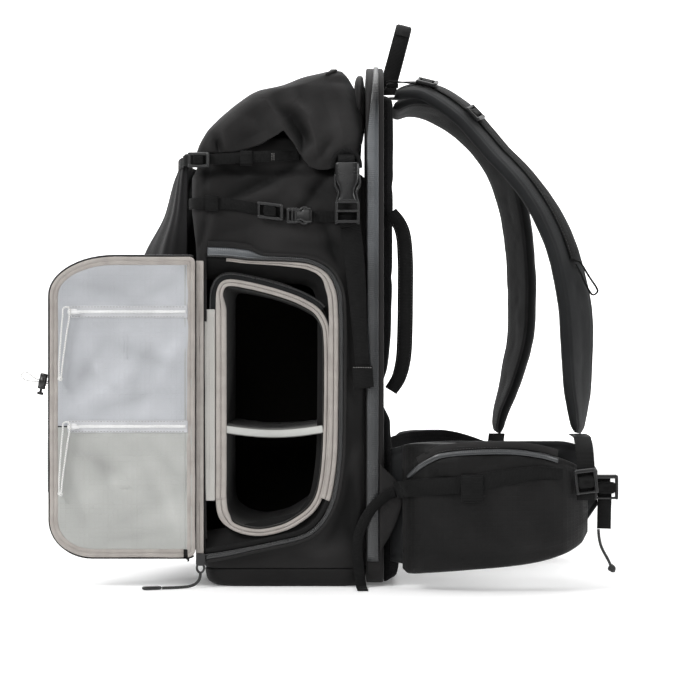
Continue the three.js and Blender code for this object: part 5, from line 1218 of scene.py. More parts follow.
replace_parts(doorEdge(), "door_binding")
upperCreases = [
    (-257, 206, -214, 268, 8, 1.9, 0.4), (-250, 194, -176, 240, 11, -1.5, 0.3), (-206, 266, -136, 238, 9, 1.7, 0.4),
    (-220, 194, -146, 216, 7, 1.6, 0.5), (-258, 332, -196, 322, 8, 1.7, 0.4), (-184, 310, -134, 334, 8, 1.5, 0.4),
    (-172, 188, -130, 282, 8, -1.5, 0.3), (-244, 284, -186, 288, 6, 1.4, 0.4), (-236, 236, -196, 214, 8, 1.6, 0.4),
    (-190, 200, -166, 262, 8, 1.5, 0.4), (-160, 252, -132, 262, 6, -1.4, 0.3), (-230, 262, -212, 210, 7, -1.5, 0.3),
]
lowerCreases = [
    (-252, 152, -186, 118, 9, 1.9, 0.4), (-242, 94, -166, 134, 12, -1.5, 0.3), (-204, 68, -134, 106, 10, 1.7, 0.4),
    (-170, 160, -132, 118, 8, 1.6, 0.4), (-254, 122, -236, 68, 8, 1.5, 0.3), (-212, 52, -146, 62, 8, 1.5, 0.5),
    (-222, 150, -206, 96, 8, 1.5, 0.4), (-150, 112, -134, 66, 8, -1.4, 0.3), (-180, 150, -160, 96, 9, 1.4, 0.3),
]
for which, limit, finish, slot, creases, seed in (
        ("upper", {"lowZ": 175.4}, blueLining, "blue_grey_lining", upperCreases, 3),
        ("lower", {"highZ": 174.2}, greyLining, "grey_lining", lowerCreases, 5)):
    low, high, corners = within(8.6, **limit)
    high[0] = -118.2
    lining = plateSoft(which + "Lining", low, high, corners, -155.4, 1.3, finish, slot, 0.8, 0.6, creases, seed, 0.5,
                       columns=90, shade=0.075)
    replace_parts(lining, "door_pocket_" + which)
for x in (-127.4, -120.6):
    webbing("liningSeam%d" % x, [((x, -156.5, z), nearSide) for z in (44, 120, 200, 280, 350)], 1.3, 0.7, 60,
            greyLining, "grey_lining")


def doorZip(which, z, node):
    # Tape with stitch rows, a coil along its middle and a slider at its left end
    left, right = -254.6, -124.6
    tape = plateSoft("zipTape" + which, (left, z - 6.6), (right, z + 6.6), square(1.2), -156.9, 1.0, whiteTape,
                     "white_zip", 0.6, 0.2, noise=0.12)
    coilAlong("zipCoil" + which, np.array([[left + 3, z], [right - 2, z]]), -158.0, whiteCoil, "white_zip", 4.2, 1.4,
              1.5)
    for row in (z + 5.3, z - 5.3):
        stitches("zipStitch%s%d" % (which, row), [((left + 1, -157.9, row), nearSide),
                                                  ((right - 1, -157.9, row), nearSide)],
                 paleThread)
    body = []
    for share, half, tall in ((0, 1.4, 0.6), (0.06, 2.4, 1.3), (0.25, 3.2, 1.7), (0.7, 3.3, 1.8), (0.94, 2.6, 1.4),
                              (1, 1.8, 0.6)):
        a = np.arange(14) / 14 * 2 * np.pi
        body.append(np.stack([np.full(14, -254.5 + 11 * share), -159.2 + np.sin(a) * tall,
                              z + power(np.cos(a), 0.6) * half], 1))
    slider = tube("zipSlider" + which, body, whiteCoil, slot="white_zip")
    pull = webbing("zipPull" + which, [((-253.5, -160.9, z), (0, -1, 0.1)), ((-248, -161.6, z - 0.4), nearSide),
                                       ((-241.5, -161.0, z - 0.6), (0, -1, -0.1))], 3.4, 1.0, 20, whiteCoil,
                                       "white_zip")
    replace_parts(joined("zip" + which, [tape, slider, pull]), node)


def stitches(name, stations, finish, pitch=3.4, length=2.2, thick=0.5, wide=0.55):
    # A row of stitches: short rounded dashes carried along a run, all one mesh
    at = smoothLine(np.array([s[0] + s[1] for s in stations], float), 240)
    run = runOf(at[:, :3])
    count = max(int(run[-1] / pitch), 1)
    centre = (np.arange(count) + 0.5) * pitch
    read = lambda s: np.stack([np.interp(s, run, at[:, k]) for k in range(6)], 1)
    mid, before, after = read(centre), read(centre - 0.5), read(centre + 0.5)
    along = unit(after[:, :3] - before[:, :3])
    face = unit(mid[:, 3:] - along * (mid[:, 3:] * along).sum(1, keepdims=True))
    across = np.cross(along, face)
    a = np.arange(6) / 6 * 2 * np.pi
    rings = []
    for share, size in ((-0.5, 0.3), (-0.35, 0.9), (0, 1.0), (0.35, 0.9), (0.5, 0.3)):
        for t in a:
            rings.append(mid[:, :3] + along * length * share + across * math.cos(t) * wide / 2 * size
                         + face * (math.sin(t) * thick / 2 * size + 0.06))
    verts = np.array(rings).reshape(5, 6, count, 3).transpose(2, 0, 1, 3).reshape(-1, 3) * mm
    r, c = [v.ravel() for v in np.meshgrid(np.arange(4), np.arange(6), indexing="ij")]
    n = (c + 1) % 6
    sides = np.stack([r * 6 + c, r * 6 + n, (r + 1) * 6 + n, (r + 1) * 6 + c], 1)
    ends = np.array([[5, 4, 3, 2, 1, 0], [24, 25, 26, 27, 28, 29]])
    starts = np.arange(count)[:, None, None] * 30
    mesh = bpy.data.meshes.new(name)
    faces = (sides + starts).reshape(-1, 4).tolist() + (ends + starts).reshape(-1, 6).tolist()
    mesh.from_pydata(verts.tolist(), [], faces)
    return placed(name, mesh, finish)


doorZip("Upper", 299, "door_zip_upper")
doorZip("Lower", 175, "door_zip_lower")


def doorTape():
    # Black tape and coil round the door's outer edge, without the hinge side
    ring = doorRun(1.0, -118.5)
    at = np.stack([ring[:, 0], np.full(len(ring), -151.5), ring[:, 1]], 1)
    profile = [(-1.0, -2.5), (1.1, -2.5), (1.2, -0.5), (1.1, 1.4), (0.6, 2.6), (-0.3, 2.8), (-1.0, 2.4)]
    tape = tube("doorTape", carried(at, nearSide, profile), blackWebbing, slot="webbing")
    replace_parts(tape, "door_zip_tape")
    out = doorRun(1.6, -118.5)
    coilAlong("doorCoil", out[out[:, 1] > 100], -153.8, blackCoil, "webbing", 2.4, 1.2, 1.8)


doorTape()
print("door done")

# Cord lock: barrel and its plunger are turned shapes on one leaning axis
def turned(name, rows, finish, slot, body="root", sides=40):
    # Rows of height and radius turned about the lock's axis
    a = np.arange(sides) / sides * 2 * np.pi
    ring = np.cos(a)[:, None] * lockSide + np.sin(a)[:, None] * np.array([0, 1, 0])
    grid = [lockAt + lockUp * h + ring * r for h, r in rows]
    return tube(name, grid, finish, slot, body=body)


barrel = turned("lockBarrel", [(-8, 3.2), (-8, 3.9), (-7.6, 4.2), (-5.5, 4.3), (-5.2, 4.0), (-4.6, 4.0), (-4.3, 4.3),
                               (3.6, 4.3), (3.9, 4.0), (4.5, 4.0), (4.8, 4.3), (7.6, 4.2), (8.7, 3.7), (9, 2.6),
                               (8.6, 1.8)],
                blackPlastic, "black_plastic")
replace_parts(barrel, "cord_lock_barrel")
plunger = turned("lockPlunger", [(4, 1.2), (4, 1.4), (-11.2, 1.4), (-11.5, 2.6), (-11.7, 3.3), (-12.2, 3.5),
                                 (-13.8, 3.5), (-14.3, 3.2), (-14.5, 2.4), (-14.3, 1.2)], blackPlastic,
                                 "black_plastic", "lock_plunger")
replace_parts(plunger, "cord_lock_plunger")
print("cord lock done")


# Moulded parts: blocks with rounded edges, placed by a frame of side, up and face vectors
def axes(side, up):
    # Side and up as unit vectors, and the face vector square to both
    side, up = unit(np.array(side, float)), unit(np.array(up, float))
    return side, up, np.cross(side, up)


def block(name, size, place, side=(1, 0, 0), up=(0, 0, 1), finish=blackPlastic, slot="black_plastic", edge=0.9,
          square=0.28):
    # Rounded block: rings of a rounded rectangle, shrinking at both faces; size is wide, tall, thick
    wide, tall, thick = size
    side, up, face = axes(side, up)
    a = (np.arange(28) + 0.5) / 28 * 2 * np.pi
    x, z = power(np.cos(a), square), power(np.sin(a), square)
    rows = []
    for depth, inset in ((0, edge * 1.4), (0, edge), (edge * 0.35, edge * 0.25), (edge, 0), (thick - edge, 0),
                         (thick - edge * 0.35, edge * 0.25), (thick, edge), (thick, edge * 1.4)):
        rows.append(np.array(place) + (x * (wide / 2 - inset))[:, None] * side + (z * (tall / 2 - inset))[:,
                                                                                                          None] * up
                    + (depth - thick / 2) * face)
    return tube(name, rows, finish, slot)


def bar(name, a, b, radius, sides=12):
    # A rounded bar between two points
    a, b = np.array(a, float), np.array(b, float)
    shares = np.array([0, 0.02, 0.06, 0.94, 0.98, 1])
    sizes = np.array([0.35, 0.8, 1, 1, 0.8, 0.35])
    t = np.arange(sides) / sides * 2 * np.pi
    profile = np.stack([np.cos(t), np.sin(t)], 1)[None] * radius * sizes[:, None, None]
    return tube(name, carried(a + (b - a) * shares[:, None], (0, 0, 1), profile), blackPlastic, "black_plastic")


def ladderLock(name, middle, width, height, thick, side, up, node=None):
    # Frame of two rails and three bars; the last bar is a lifted lip
    middle = np.array(middle, float)
    side, up, face = axes(side, up)
    if face[1] > 0 or (abs(face[1]) < 0.3 and face[2] < 0):
        face = -face
    parts = []
    for s in (-1, 1):
        at = middle + side * s * (width / 2 - 1.7)
        parts.append(block(name + "Rail", (3.4, height, thick), at, side, up, edge=1.0))
    for share, tall, deep, lift in ((-0.5, 2.6, 1.0, 0), (0.5, 3.8, 1.2, 0.9)):
        at = middle + up * share * (height - 3) + face * lift
        parts.append(block(name + "Bar", (width - 2, tall, thick * deep * 0.75), at, side, up, edge=0.9))
    block(name + "Fold", (width - 6.4, height * 0.5, thick * 1.1), middle + face * 0.3 - up * 0.4, side, up,
          blackWebbing, "webbing", 1.8, 0.4)
    lip = middle + up * (0.5 * height - 0.4) + face * (thick * 0.3)
    parts.append(bar(name + "Lip", lip - side * (width / 2 - 1.5), lip + side * (width / 2 - 1.5), 1.3))
    piece = joined(name, parts)
    if node:
        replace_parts(piece, node)
    return piece


def sideRelease(name, middle, width, length, thick, side, up, node):
    # Fastened buckle: arched receiver with side windows, springy prongs seen in them, and the ladder end
    middle = np.array(middle, float)
    side, up, face = axes(side, up)
    face = -face if face[1] > 0 else face
    top, bottom = length / 2, -length / 2
    outline = [(top, 0.86), (top - 2, 0.99), (top - length * 0.12, 1.0), (top - length * 0.3, 0.96),
               (top - length * 0.4, 0.72), (top - length * 0.5, 0.62), (top - length * 0.58, 0.7),
               (top - length * 0.64, 0.9)]
    count = 40
    steps = np.linspace(0, 1, count)
    heights = np.interp(steps, np.linspace(0, 1, len(outline)), [o[0] for o in outline])
    widths = column([(i / (len(outline) - 1), o[1]) for i, o in enumerate(outline)], ["t", "w"], "w", steps)
    a = (np.arange(24) + 0.5) / 24 * 2 * np.pi
    x, z = power(np.cos(a), 0.45), power(np.sin(a), 0.6)
    bodyRows = []
    for i, (h, w) in enumerate(zip(heights, widths)):
        pinch = min(1, 0.5 + i / 3, 0.5 + (count - 1 - i) / 3)
        crown = 1 + 0.12 * math.sin(np.pi * i / (count - 1))
        bodyRows.append(middle + up * h + (x * w * width / 2)[:, None] * side
                        + (z * thick / 2 * pinch * crown)[:, None] * face)
    parts = [tube(name + "Receiver", bodyRows, blackPlastic, "black_plastic")]
    for s in (-1, 1):
        prong = [middle + up * (top - length * down) + side * s * width * out + face * lift
                 for down, out, lift in ((0.2, 0.47, 0.2), (0.36, 0.5, 0.2), (0.5, 0.36, 0.2), (0.66, 0.44, 0))]
        grid = carried(smoothLine(prong, 24), tuple(face), roundProfile(3.0, thick * 0.8, 12, 0.6))
        parts.append(tube(name + "Prong", grid, blackPlastic, "black_plastic"))
    for s in (-1, 1):
        at = middle + up * (bottom + length * 0.17) + side * s * (width / 2 - 1.7)
        parts.append(block(name + "Rail", (3.4, length * 0.36, thick * 0.8), at, side, up, edge=1.0))
    for share, tall, lift in ((0.36, 4.4, 0.3), (0.2, 2.8, 0.8), (0.03, 3.2, 0.6)):
        at = middle + up * (bottom + length * share) + face * lift
        parts.append(block(name + "Bar", (width - 2, tall, thick * 0.7), at, side, up, edge=0.9))
    for s in (-1, 1):  # ribs on the receiver's face
        for k in range(3):
            at = middle + up * (top - length * (0.1 + 0.055 * k)) + face * thick * 0.5 + side * s * width * 0.3
            parts.append(bar(name + "Rib", at - side * 2.2, at + side * 2.2, 0.5))
    arch = middle + up * (top - 2.0) + face * thick * 0.25
    parts.append(bar(name + "Arch", arch - side * (width / 2 - 2), arch + side * (width / 2 - 2), 2.0))
    piece = joined(name, parts)
    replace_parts(piece, node)
    return piece


def keeper(name, middle, wide, tall, side, up, thick=1.4, lift=0.0):
    # A short elastic band over the webbing, crowned, its ends tucked under
    middle = np.array(middle, float)
    side, up, face = axes(side, up)
    face = -face if face[1] > 0 else face
    ends = []
    for s in (-1, -0.93, -0.6, 0, 0.6, 0.93, 1):
        rise = 0.2 if abs(s) == 1 else (1.6 if abs(s) > 0.9 else 2.3)
        at = middle + up * s * tall / 2 + face * (rise + lift)
        ends.append((tuple(at), tuple(face)))
    return webbing(name, ends, wide, thick, 24, slot="webbing")


def pocketAt(angle, z, off):
    # A place beside the front pocket's arc, with its outward face; the angle is in degrees off the front
    up = (z - pocketSize["lowZ"]) / pocketSize["height"]
    read = lambda key: float(column(pocketRows, pocketNames, key, np.array([up]))[0])
    reach = read("reach") * pocketSize["reach"] * 1.06 + off
    half = read("half") * pocketSize["width"] / 2 * 1.06 + off
    t = math.radians(angle)
    face = unit(np.array([-math.cos(t) / reach, math.sin(t) / half, 0]))
    return (pocketSize["backX"] - reach * math.cos(t), half * math.sin(t), z), tuple(face)


def upperStrap():
    # From one hood side round the front pocket to the other, with lock, keeper and tacks
    near = [((-4.5, -136.5, 470), (0.2, -1, 0.2)), ((-14.5, -139, 469.5), (0.2, -1, 0.2)),
            ((-30.5, -146.5, 468.5), (0.2, -1, 0)), ((-45.5, -150.5, 467.5), nearSide),
            ((-72, -150.8, 466), nearSide), ((-100.4, -150.5, 464.5), nearSide),
            ((-115.8, -150.5, 463.5), nearSide), ((-123.5, -147.5, 463.5), (-0.45, -0.8, 0)),
            ((-129.3, -140.5, 463.5), (-0.8, -0.8, 0))]
    mirror = lambda s: ((s[0][0], -s[0][1], s[0][2]), (s[1][0], -s[1][1], s[1][2]))
    arc = [pocketAt(a, 463.5, 1.5) for a in np.linspace(-78, 78, 15)]
    piece = webbing("upperStrapWeb", near + arc + [mirror(s) for s in near[::-1]], 11.5, 1.6, 300)
    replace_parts(piece, "upper_strap")
    ladderLock("upperLock", (-113, -155.4, 463.5), 16.5, 23, 4.2, (0, 0, 1), (1, 0, 0), "upper_strap_lock")
    keeper("upperKeeper", (-61.5, -152.4, 465.6), 13, 13.4, (1, 0, 0.02), (0, 0, 1), lift=-0.4)
    for k in range(3):
        stitches("upperTack%d" % k, [((-31.5 - 2.2 * k, -149.9 + 0.2 * k, 463.5), nearSide),
                                     ((-31.5 - 2.2 * k, -149.9 + 0.2 * k, 473), nearSide)], paleThread,
                                     1.6, 1.2)


def lowerStrap():
    # it starts round a short arc at the front pocket's edge
    start = []
    for t in np.radians((68, 45, 22)):
        s, c = math.sin(t), math.cos(t)
        start.append(((-103.4 - 21.58 * s, -149.6 + 21.58 * (1 - c), 417), (-s, -c, 0)))
    run = [((-103.4, -149.9, 417), nearSide), ((-86, -150.2, 416.2), nearSide), ((-72, -150.2, 415), nearSide),
           ((-35, -150.2, 408), nearSide), ((-4, -150.2, 403), nearSide), ((37, -150.0, 402), nearSide)]
    piece = webbing("lowerStrapWeb", start + run, 12, 1.6, 160)
    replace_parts(piece, "lower_strap")
    ladderLock("lowerLock", (-35.5, -155.4, 408), 18, 28, 4.4, (0, 0, 1), (1, 0, -0.12), "lower_strap_lock")
    sideRelease("lowerBuckle", (-3.5, -156.2, 403), 17, 27, 7.6, (0, 0, 1), (1, 0, 0), "lower_strap_buckle")
    keeper("lowerKeeper", (-98.6, -151.6, 417), 14, 14.4, (1, 0, 0), (0, 0, 1), lift=-0.4)


def topStrap():
    # a long tapered strap under the buckle, the buckle's own webbing and the arched tab above it
    at = [(48, 408.5), (51, 392), (53, 380), (58, 330), (61, 285), (64.5, 239), (65, 216)]
    stations = [((x, -151.9, z), nearSide) for x, z in at]
    widths = [1, 1, 0.98, 0.86, 0.74, 0.72, 0.78]
    piece = webbing("topStrapWeb", stations, 22, 1.5, 110, widths=widths)
    end = webbing("topStrapEnd", [((64.2, -153.4, 240), nearSide), ((65, -153.7, 228), nearSide),
                                  ((66, -153.5, 216.6), nearSide)],
                  22, 2.4, 24)
    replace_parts(joined("topStrapPiece", [piece, end]), "top_strap")
    stitches("topStrapStitch", [((54, -156.1, 239), nearSide), ((75, -156.1, 238.6), nearSide)], paleThread,
             2.6, 1.8)
    low, high = np.array(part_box("top_strap_buckle")) / mm
    middle = (low + high) / 2
    sideRelease("topBuckle", (middle[0], middle[1] - 0.4, middle[2]), 27, high[2] - low[2], 9.6, (1, 0, 0), (0, 0, 1),
                "top_strap_buckle")
    webbing("topBuckleWeb", [((47.8, -152.8, 408.8), nearSide), ((47.9, -155.8, 405.6), (0, -1, -0.6)),
                                    ((48.2, -156.4, 400), nearSide), ((50, -154.8, 392), nearSide)], 21, 1.5, 24)
    arch = [((47 + 14.6 * math.cos(t), -151.0, 455 + 18.6 * max(math.sin(t), 0) ** 0.8), nearSide)
            for t in np.linspace(0, np.pi, 30)]
    tab = webbing("topTabArch", arch, 5.6, 4.2, 60)
    inner = plateSoft("topTabBack", (34, 452.8), (60, 472), {"lowLeft": (2, 2), "lowRight": (2, 2),
                                                             "topRight": (12, 15),
                                                         "topLeft": (12, 15)}, -150.7, 1.6, shadeCloth, "webbing",
                                                         0.8)
    strap = webbing("topTabWeb", [((47, -152.4, 470), nearSide), ((47, -156.6, 465), (0, -1, 0.3)),
                                  ((47, -157.6, 459.5), nearSide), ((47, -155.2, 454), (0, -1, -0.4))], 18, 1.6, 30)
    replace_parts(joined("topTab", [tab, inner, strap]), "top_strap_tab")


def haulLoop():
    # half a superellipse across the bag, its upper part doubled as a grip
    angle = np.pi * np.arange(13) / 12
    up = np.sin(angle) ** 0.75
    side = -power(np.cos(angle), 0.55)
    stations = [((97.3 + 16 * u, 31 * s, 569 + 61 * u), (0.25 * u, s, u)) for u, s in zip(up, side)]
    stations = [((97.3, -31, 557), nearSide)] + stations + [((97.3, 31, 557), (0, 1, 0))]
    piece = webbing("haulLoopWeb", stations, 18, 1.7, 200)
    grip = webbing("haulLoopGrip", [((x + 0.2, y, z), f) for (x, y, z), f in stations[4:11]], 15.6, 2.7, 90)
    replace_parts(joined("haulLoopPiece", [piece, grip]), "haul_loop")


def sideHandle():
    # A webbing handle standing off the bag, stitched along both edges
    rows = [(95.9, -117, 409), (104.9, -118, 397), (109.9, -119, 382), (111.9, -119, 355), (111.9, -119, 320),
            (111.4, -119, 280), (109.9, -119, 250), (104.9, -118, 228), (95.9, -117, 213)]
    widths = [0.86, 0.96, 1, 1, 1, 1, 1, 0.96, 0.86]
    piece = webbing("sideHandleWeb", [(r, nearSide) for r in rows], 17, 1.6, 120, widths=widths)
    for s in (-1, 1):
        stitches("sideHandleStitch%d" % s, [((x + s * 6.6, y - 1.75, z), nearSide) for x, y, z in rows[1:-1]],
                 threadFinish, 3.2, 2.2)
    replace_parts(piece, "side_handle")


def tripodStrap():
    # A narrow strap down the side whose loop lies on the floor
    y = -150.5
    rows = [(100, 103.5), (92, 101), (84, 95), (75, 86), (66, 71.5), (60.5, 56), (59, 39), (60.5, 20), (62, 10)]
    stations = [((x, y, z), nearSide) for x, z in rows]
    stations += [((62.8, -151.5, 3.6), (0, -0.85, 0.5)), ((63.2, -154.5, 1), (0, -0.4, 0.9)),
                 ((63.6, -160.5, 0.5), (0, 0, 1)), ((64.6, -186.5, 0.5), (0, 0, 1))]
    piece = webbing("tripodStrapWeb", stations, 11.5, 1.6, 180)
    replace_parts(piece, "tripod_strap")


def basePuller():
    # A moulded hook: a flat ring and shank round the hole the cord runs through
    plate = block("pullerTop", (10, 13.5, 2.4), (pullerX, -153.2, 30.7), edge=0.8)
    at = np.array([[pullerX + 3.9 * math.cos(t), -153.2, 21.8 + 5.2 * math.sin(t)]
                   for t in np.linspace(0, 2 * math.pi, 30, endpoint=False)])
    ring = surface("pullerRing", carried(at, nearSide, roundProfile(2.6, 2.6, 10, 0.7), closed=True), blackPlastic,
                   "black_plastic", wrapRows=True, wrapCols=True)
    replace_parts(joined("basePullerPiece", [plate, ring]), "base_puller")


upperStrap()
lowerStrap()
topStrap()
haulLoop()
sideHandle()
tripodStrap()
basePuller()
print("straps done")

# Harness
strapSize = {"rootX": 101.5, "reach": 202.072, "spread": 62, "lowZ": 166, "height": 383, "width": 64, "thick": 13}
hipSize = {"rootX": 88.3, "reach": 232, "spread": 128, "thick": 11, "tall": 192, "bulge": 40}
nearStrapRows = [  # reach, height, side, tilt, width
    (0, 0.985, 0.94, 6, 0.86), (0.06, 1, 0.96, 12, 0.9), (0.15, 1.003, 1, 18, 0.95), (0.256, 0.981, 1.04, 24, 1),
    (0.385, 0.93, 1.1, 26, 1), (0.482, 0.873, 1.14, 26, 1), (0.574, 0.815, 1.2, 26, 1), (0.673, 0.76, 1.26, 27, 1),
    (0.76, 0.701, 1.32, 29, 0.98), (0.845, 0.626, 1.4, 32, 0.96), (0.925, 0.525, 1.48, 35, 0.96),
    (0.979, 0.393, 1.56, 37, 0.97), (0.996, 0.289, 1.62, 37, 0.97), (0.996, 0.143, 1.7, 32, 0.9),
    (0.995, 0.04, 1.74, 22, 0.7), (0.995, 0, 1.76, 18, 0.5),
]
farStrapRows = [
    (0, 0.975, 0.94, 6, 0.86), (0.1, 0.995, 0.96, 10, 0.9), (0.21, 0.99, 1, 14, 0.95), (0.335, 0.966, 1.04, 20, 1),
    (0.44, 0.93, 1.08, 22, 1), (0.553, 0.872, 1.12, 24, 1), (0.643, 0.8, 1.16, 24, 1), (0.704, 0.715, 1.24, 24, 1),
    (0.745, 0.61, 1.32, 24, 0.96), (0.767, 0.5, 1.4, 24, 0.94), (0.774, 0.39, 1.48, 24, 0.92),
    (0.765, 0.275, 1.54, 22, 0.9), (0.71, 0.145, 1.6, 18, 0.8), (0.655, 0.05, 1.66, 14, 0.62),
    (0.63, -0.02, 1.7, 12, 0.46),
]


def strapStations(rows, side):
    # Places, faces and widths of a strap's rows, all arrays
    t = np.array(rows, float)
    at = np.stack([strapSize["rootX"] + t[:, 0] * strapSize["reach"], side * t[:, 2] * strapSize["spread"],
                   strapSize["lowZ"] + t[:, 1] * strapSize["height"]], 1)
    along = unit(np.vstack([at[1:], at[-1:]]) - np.vstack([at[:1], at[:-1]]))
    lift = unit(np.cross(along, [0, 1, 0]))
    tilt = np.radians(t[:, 3])[:, None]
    face = lift * np.cos(tilt) + np.array([0, side, 0]) * np.sin(tilt)
    return at, face, t[:, 4] * strapSize["width"]


def padSection(width, thick, steps=44, edge=5.0):
    # Section of a padded strap: crowned faces, pinched and rolled at both edges, a stitch groove beside each roll
    s = np.linspace(-1, 1, steps // 2)
    w = s * width / 2
    fromEdge = width / 2 - np.abs(w)
    full = thick / 2 * (0.62 + 0.38 * (1 - s**2) ** 0.35)
    groove = 1.7 * np.exp(-((fromEdge - edge) / 1.6) ** 2)
    roll = np.sqrt(np.clip(fromEdge / 2.6, 0, 1))
    top = full * roll - groove
    lower = -(full * roll - groove * 0.7)
    return np.concatenate([np.stack([w, top], 1), np.stack([w, lower], 1)[::-1][1:-1]])


def padStrap(name, rows, side, node, steps=190):
    # The pad's section carried along the rows' smooth line, tapered at its ends, pressed by noise
    at, face, width = strapStations(rows, side)
    line = smoothLine(np.hstack([at, face, width[:, None]]), steps)
    share = np.linspace(0, 1, steps)
    thick = strapSize["thick"] * (1 - 0.25 * easing(share, 0.93, 1))
    profile = np.stack([padSection(w, t) for w, t in zip(line[:, 6], thick)])
    cap = np.sqrt(np.clip(np.minimum(share / 0.012, (1 - share) / 0.02), 0.02, 1))
    profile[..., 1] *= cap[:, None]
    grid = carried(line[:, :3], line[:, 3:6], profile)
    press = 0.8 * softNoise(grid, 26, 4) + 0.4 * softNoise(grid, 11, 6)
    outward = unit(grid - line[:, None, :3])
    grid += outward * (press - 0.5)[..., None] * np.minimum(cap, 1)[:, None, None]
    # painted light on the near strap and painted shade on the far one, a little darker where the noise lifts the cloth
    piece = tube(name, grid, strapCloth, slot="strap_fabric",
                    tone=np.full(grid.shape[:2], 0.35 if side < 0 else -0.5) + np.clip(-0.12 * press, -0.3, 0.3))
    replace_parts(piece, node)
    return line


nearLine = padStrap("nearStrapPad", nearStrapRows, -1, "shoulder_strap_near")
farLine = padStrap("farStrapPad", farStrapRows, 1, "shoulder_strap_far")


def onLine(line, share, lift=0.0, across=0.0):
    # A place on a strap's outer face, with its run, its side and its face
    i = int(round(share * (len(line) - 1)))
    i = min(max(i, 1), len(line) - 2)
    along = unit(line[i + 1, :3] - line[i - 1, :3])
    side = unit(np.cross(along, line[i, 3:6]))
    face = unit(np.cross(side, along))
    return line[i, :3] + face * (strapSize["thick"] / 2 + lift) + side * across * line[i, 6], along, side, face


def strapTrims():
    # Tape ridge down the near strap's outside, and the soft loop hanging from it
    stations = []
    for share in np.linspace(0.2, 0.60, 22):
        at, _, _, face = onLine(nearLine, share, 0.3, -0.12)
        stations.append((tuple(at), tuple(face)))
    webbing("strapTape", stations, 19, 1.5, 120, slot="webbing")
    for s in (-1, 1):
        rows = []
        for share in np.linspace(0.2, 0.60, 22):
            at, _, side, face = onLine(nearLine, share, 2.0, -0.12)
            rows.append((tuple(at + side * s * 7.6), tuple(face)))
        stitches("strapTapeStitch%d" % s, rows, threadFinish, 3.4, 2.3)
    loop = np.array([(300.3, 356.8), (307, 354.5), (317, 338.9), (325.4, 326), (325.2, 321.4), (319.8, 319.5),
                     (312.6, 331.2), (307, 343.4), (301.6, 353.4)])
    path = smoothLine(loop, 60)
    run = unit(np.gradient(path, axis=0))
    at = np.stack([path[:, 0], np.full(60, -97.0), path[:, 1]], 1)
    grid = carried(at, np.stack([-run[:, 1], np.zeros(60), run[:, 0]], 1), roundProfile(7, 1.8, 12, 0.4))
    tube("strapLoop", grid, blackWebbing, slot="webbing")
    for which, line in (("Near", nearLine), ("Far", farLine)):
        for s in (-1, 1):
            rows = []
            for share in np.linspace(0.06, 0.95, 60):
                p, _, side, face = onLine(line, share)
                i = int(round(share * (len(line) - 1)))
                half = line[i, 6] / 2 - 5.0
                rows.append((tuple(p + side * s * half - face * 3.2), tuple(face)))
            stitches("pad%sStitch%d" % (which, s), rows, threadFinish, 3.6, 2.4, 0.6, 0.7)


strapTrims()


def lifterStations(line, shares):
    # From the back panel's top over the gap to the strap's outer face, then along it
    _, y, z = onLine(line, shares[0], 1.6)[0]
    root = hipSize["rootX"]
    rows = [((root + 0.45, y, max(z - 6, 543)), (0.95, 0, 0.3)), ((root + 3, y, z - 2), (0.6, 0, 0.8)),
            ((root + 9, y, z + 0.6), (0.1, 0, 1))]
    for share, lift in zip(shares, (1.6, 1.2, 0.9, 0.9)):
        at, _, _, face = onLine(line, share, lift)
        rows.append((tuple(at), tuple(face)))
    return rows


def lifters():
    # Load lifters on both straps, their locks, and the sternum slider on the near one
    for which, line in (("Near", nearLine), ("Far", farLine)):
        web = webbing("liftWeb" + which, lifterStations(line, (0.045, 0.08, 0.13, 0.18)), 15, 1.6, 80)
        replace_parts(web, "load_lifter_" + which.lower())
    for name, line, share, lift, size, node in (
            ("liftLock", nearLine, 0.075, 4.2, (21, 23, 4.6), "load_lifter_lock"),
            ("sternumSliderPiece", nearLine, 0.195, 4.0, (24, 20, 4.4), "sternum_slider"),
            ("liftLockFar", farLine, 0.075, 4.2, (21, 23, 4.6), None)):
        at, along, side, _ = onLine(line, share, lift)
        ladderLock(name, at, *size, side, along, node)


lifters()
print("shoulder straps done")

# Hip wings and pockets: rows along the wing, each a ring of Y and Z
wingNames = ["along", "side", "low", "high"]
wingRows = [(0.03, 1.02, 0.14, 0.78), (0.16, 1.17, 0.12, 0.82), (0.36, 1.23, 0.13, 0.83), (0.6, 1.25, 0.17, 0.83),
            (0.8, 1.22, 0.24, 0.83), (0.92, 1.16, 0.34, 0.8), (1, 1.09, 0.46, 0.66)]
hipPocketNames = ["along", "low", "high", "bulge"]
hipPocketRows = [(0.085, 0.11, 0.8, 0.18), (0.11, 0.09, 0.815, 0.55), (0.2, 0.1, 0.825, 0.9), (0.36, 0.118, 0.825, 1),
                 (0.52, 0.135, 0.81, 1), (0.68, 0.16, 0.785, 1), (0.81, 0.2, 0.74, 0.86), (0.91, 0.26, 0.68, 0.5),
                 (0.945, 0.32, 0.6, 0.2)]


def wingRead(key, x):
    # The wing's rows read at X
    return column(wingRows, wingNames, key, (x - hipSize["rootX"]) / hipSize["reach"])


def beltTall(x, side):
    # The belt's far half hangs lower towards its tip
    share = (x - hipSize["rootX"]) / hipSize["reach"]
    return hipSize["tall"] * (1 - (0.26 * easing(share, 0.3, 0.95) if side > 0 else 0))


def wingMiddleY(x):
    # The wing's middle line on the near side
    t = np.array(wingRows)
    return -hipSize["spread"] * np.interp((x - hipSize["rootX"]) / hipSize["reach"], t[:, 0], t[:, 1])


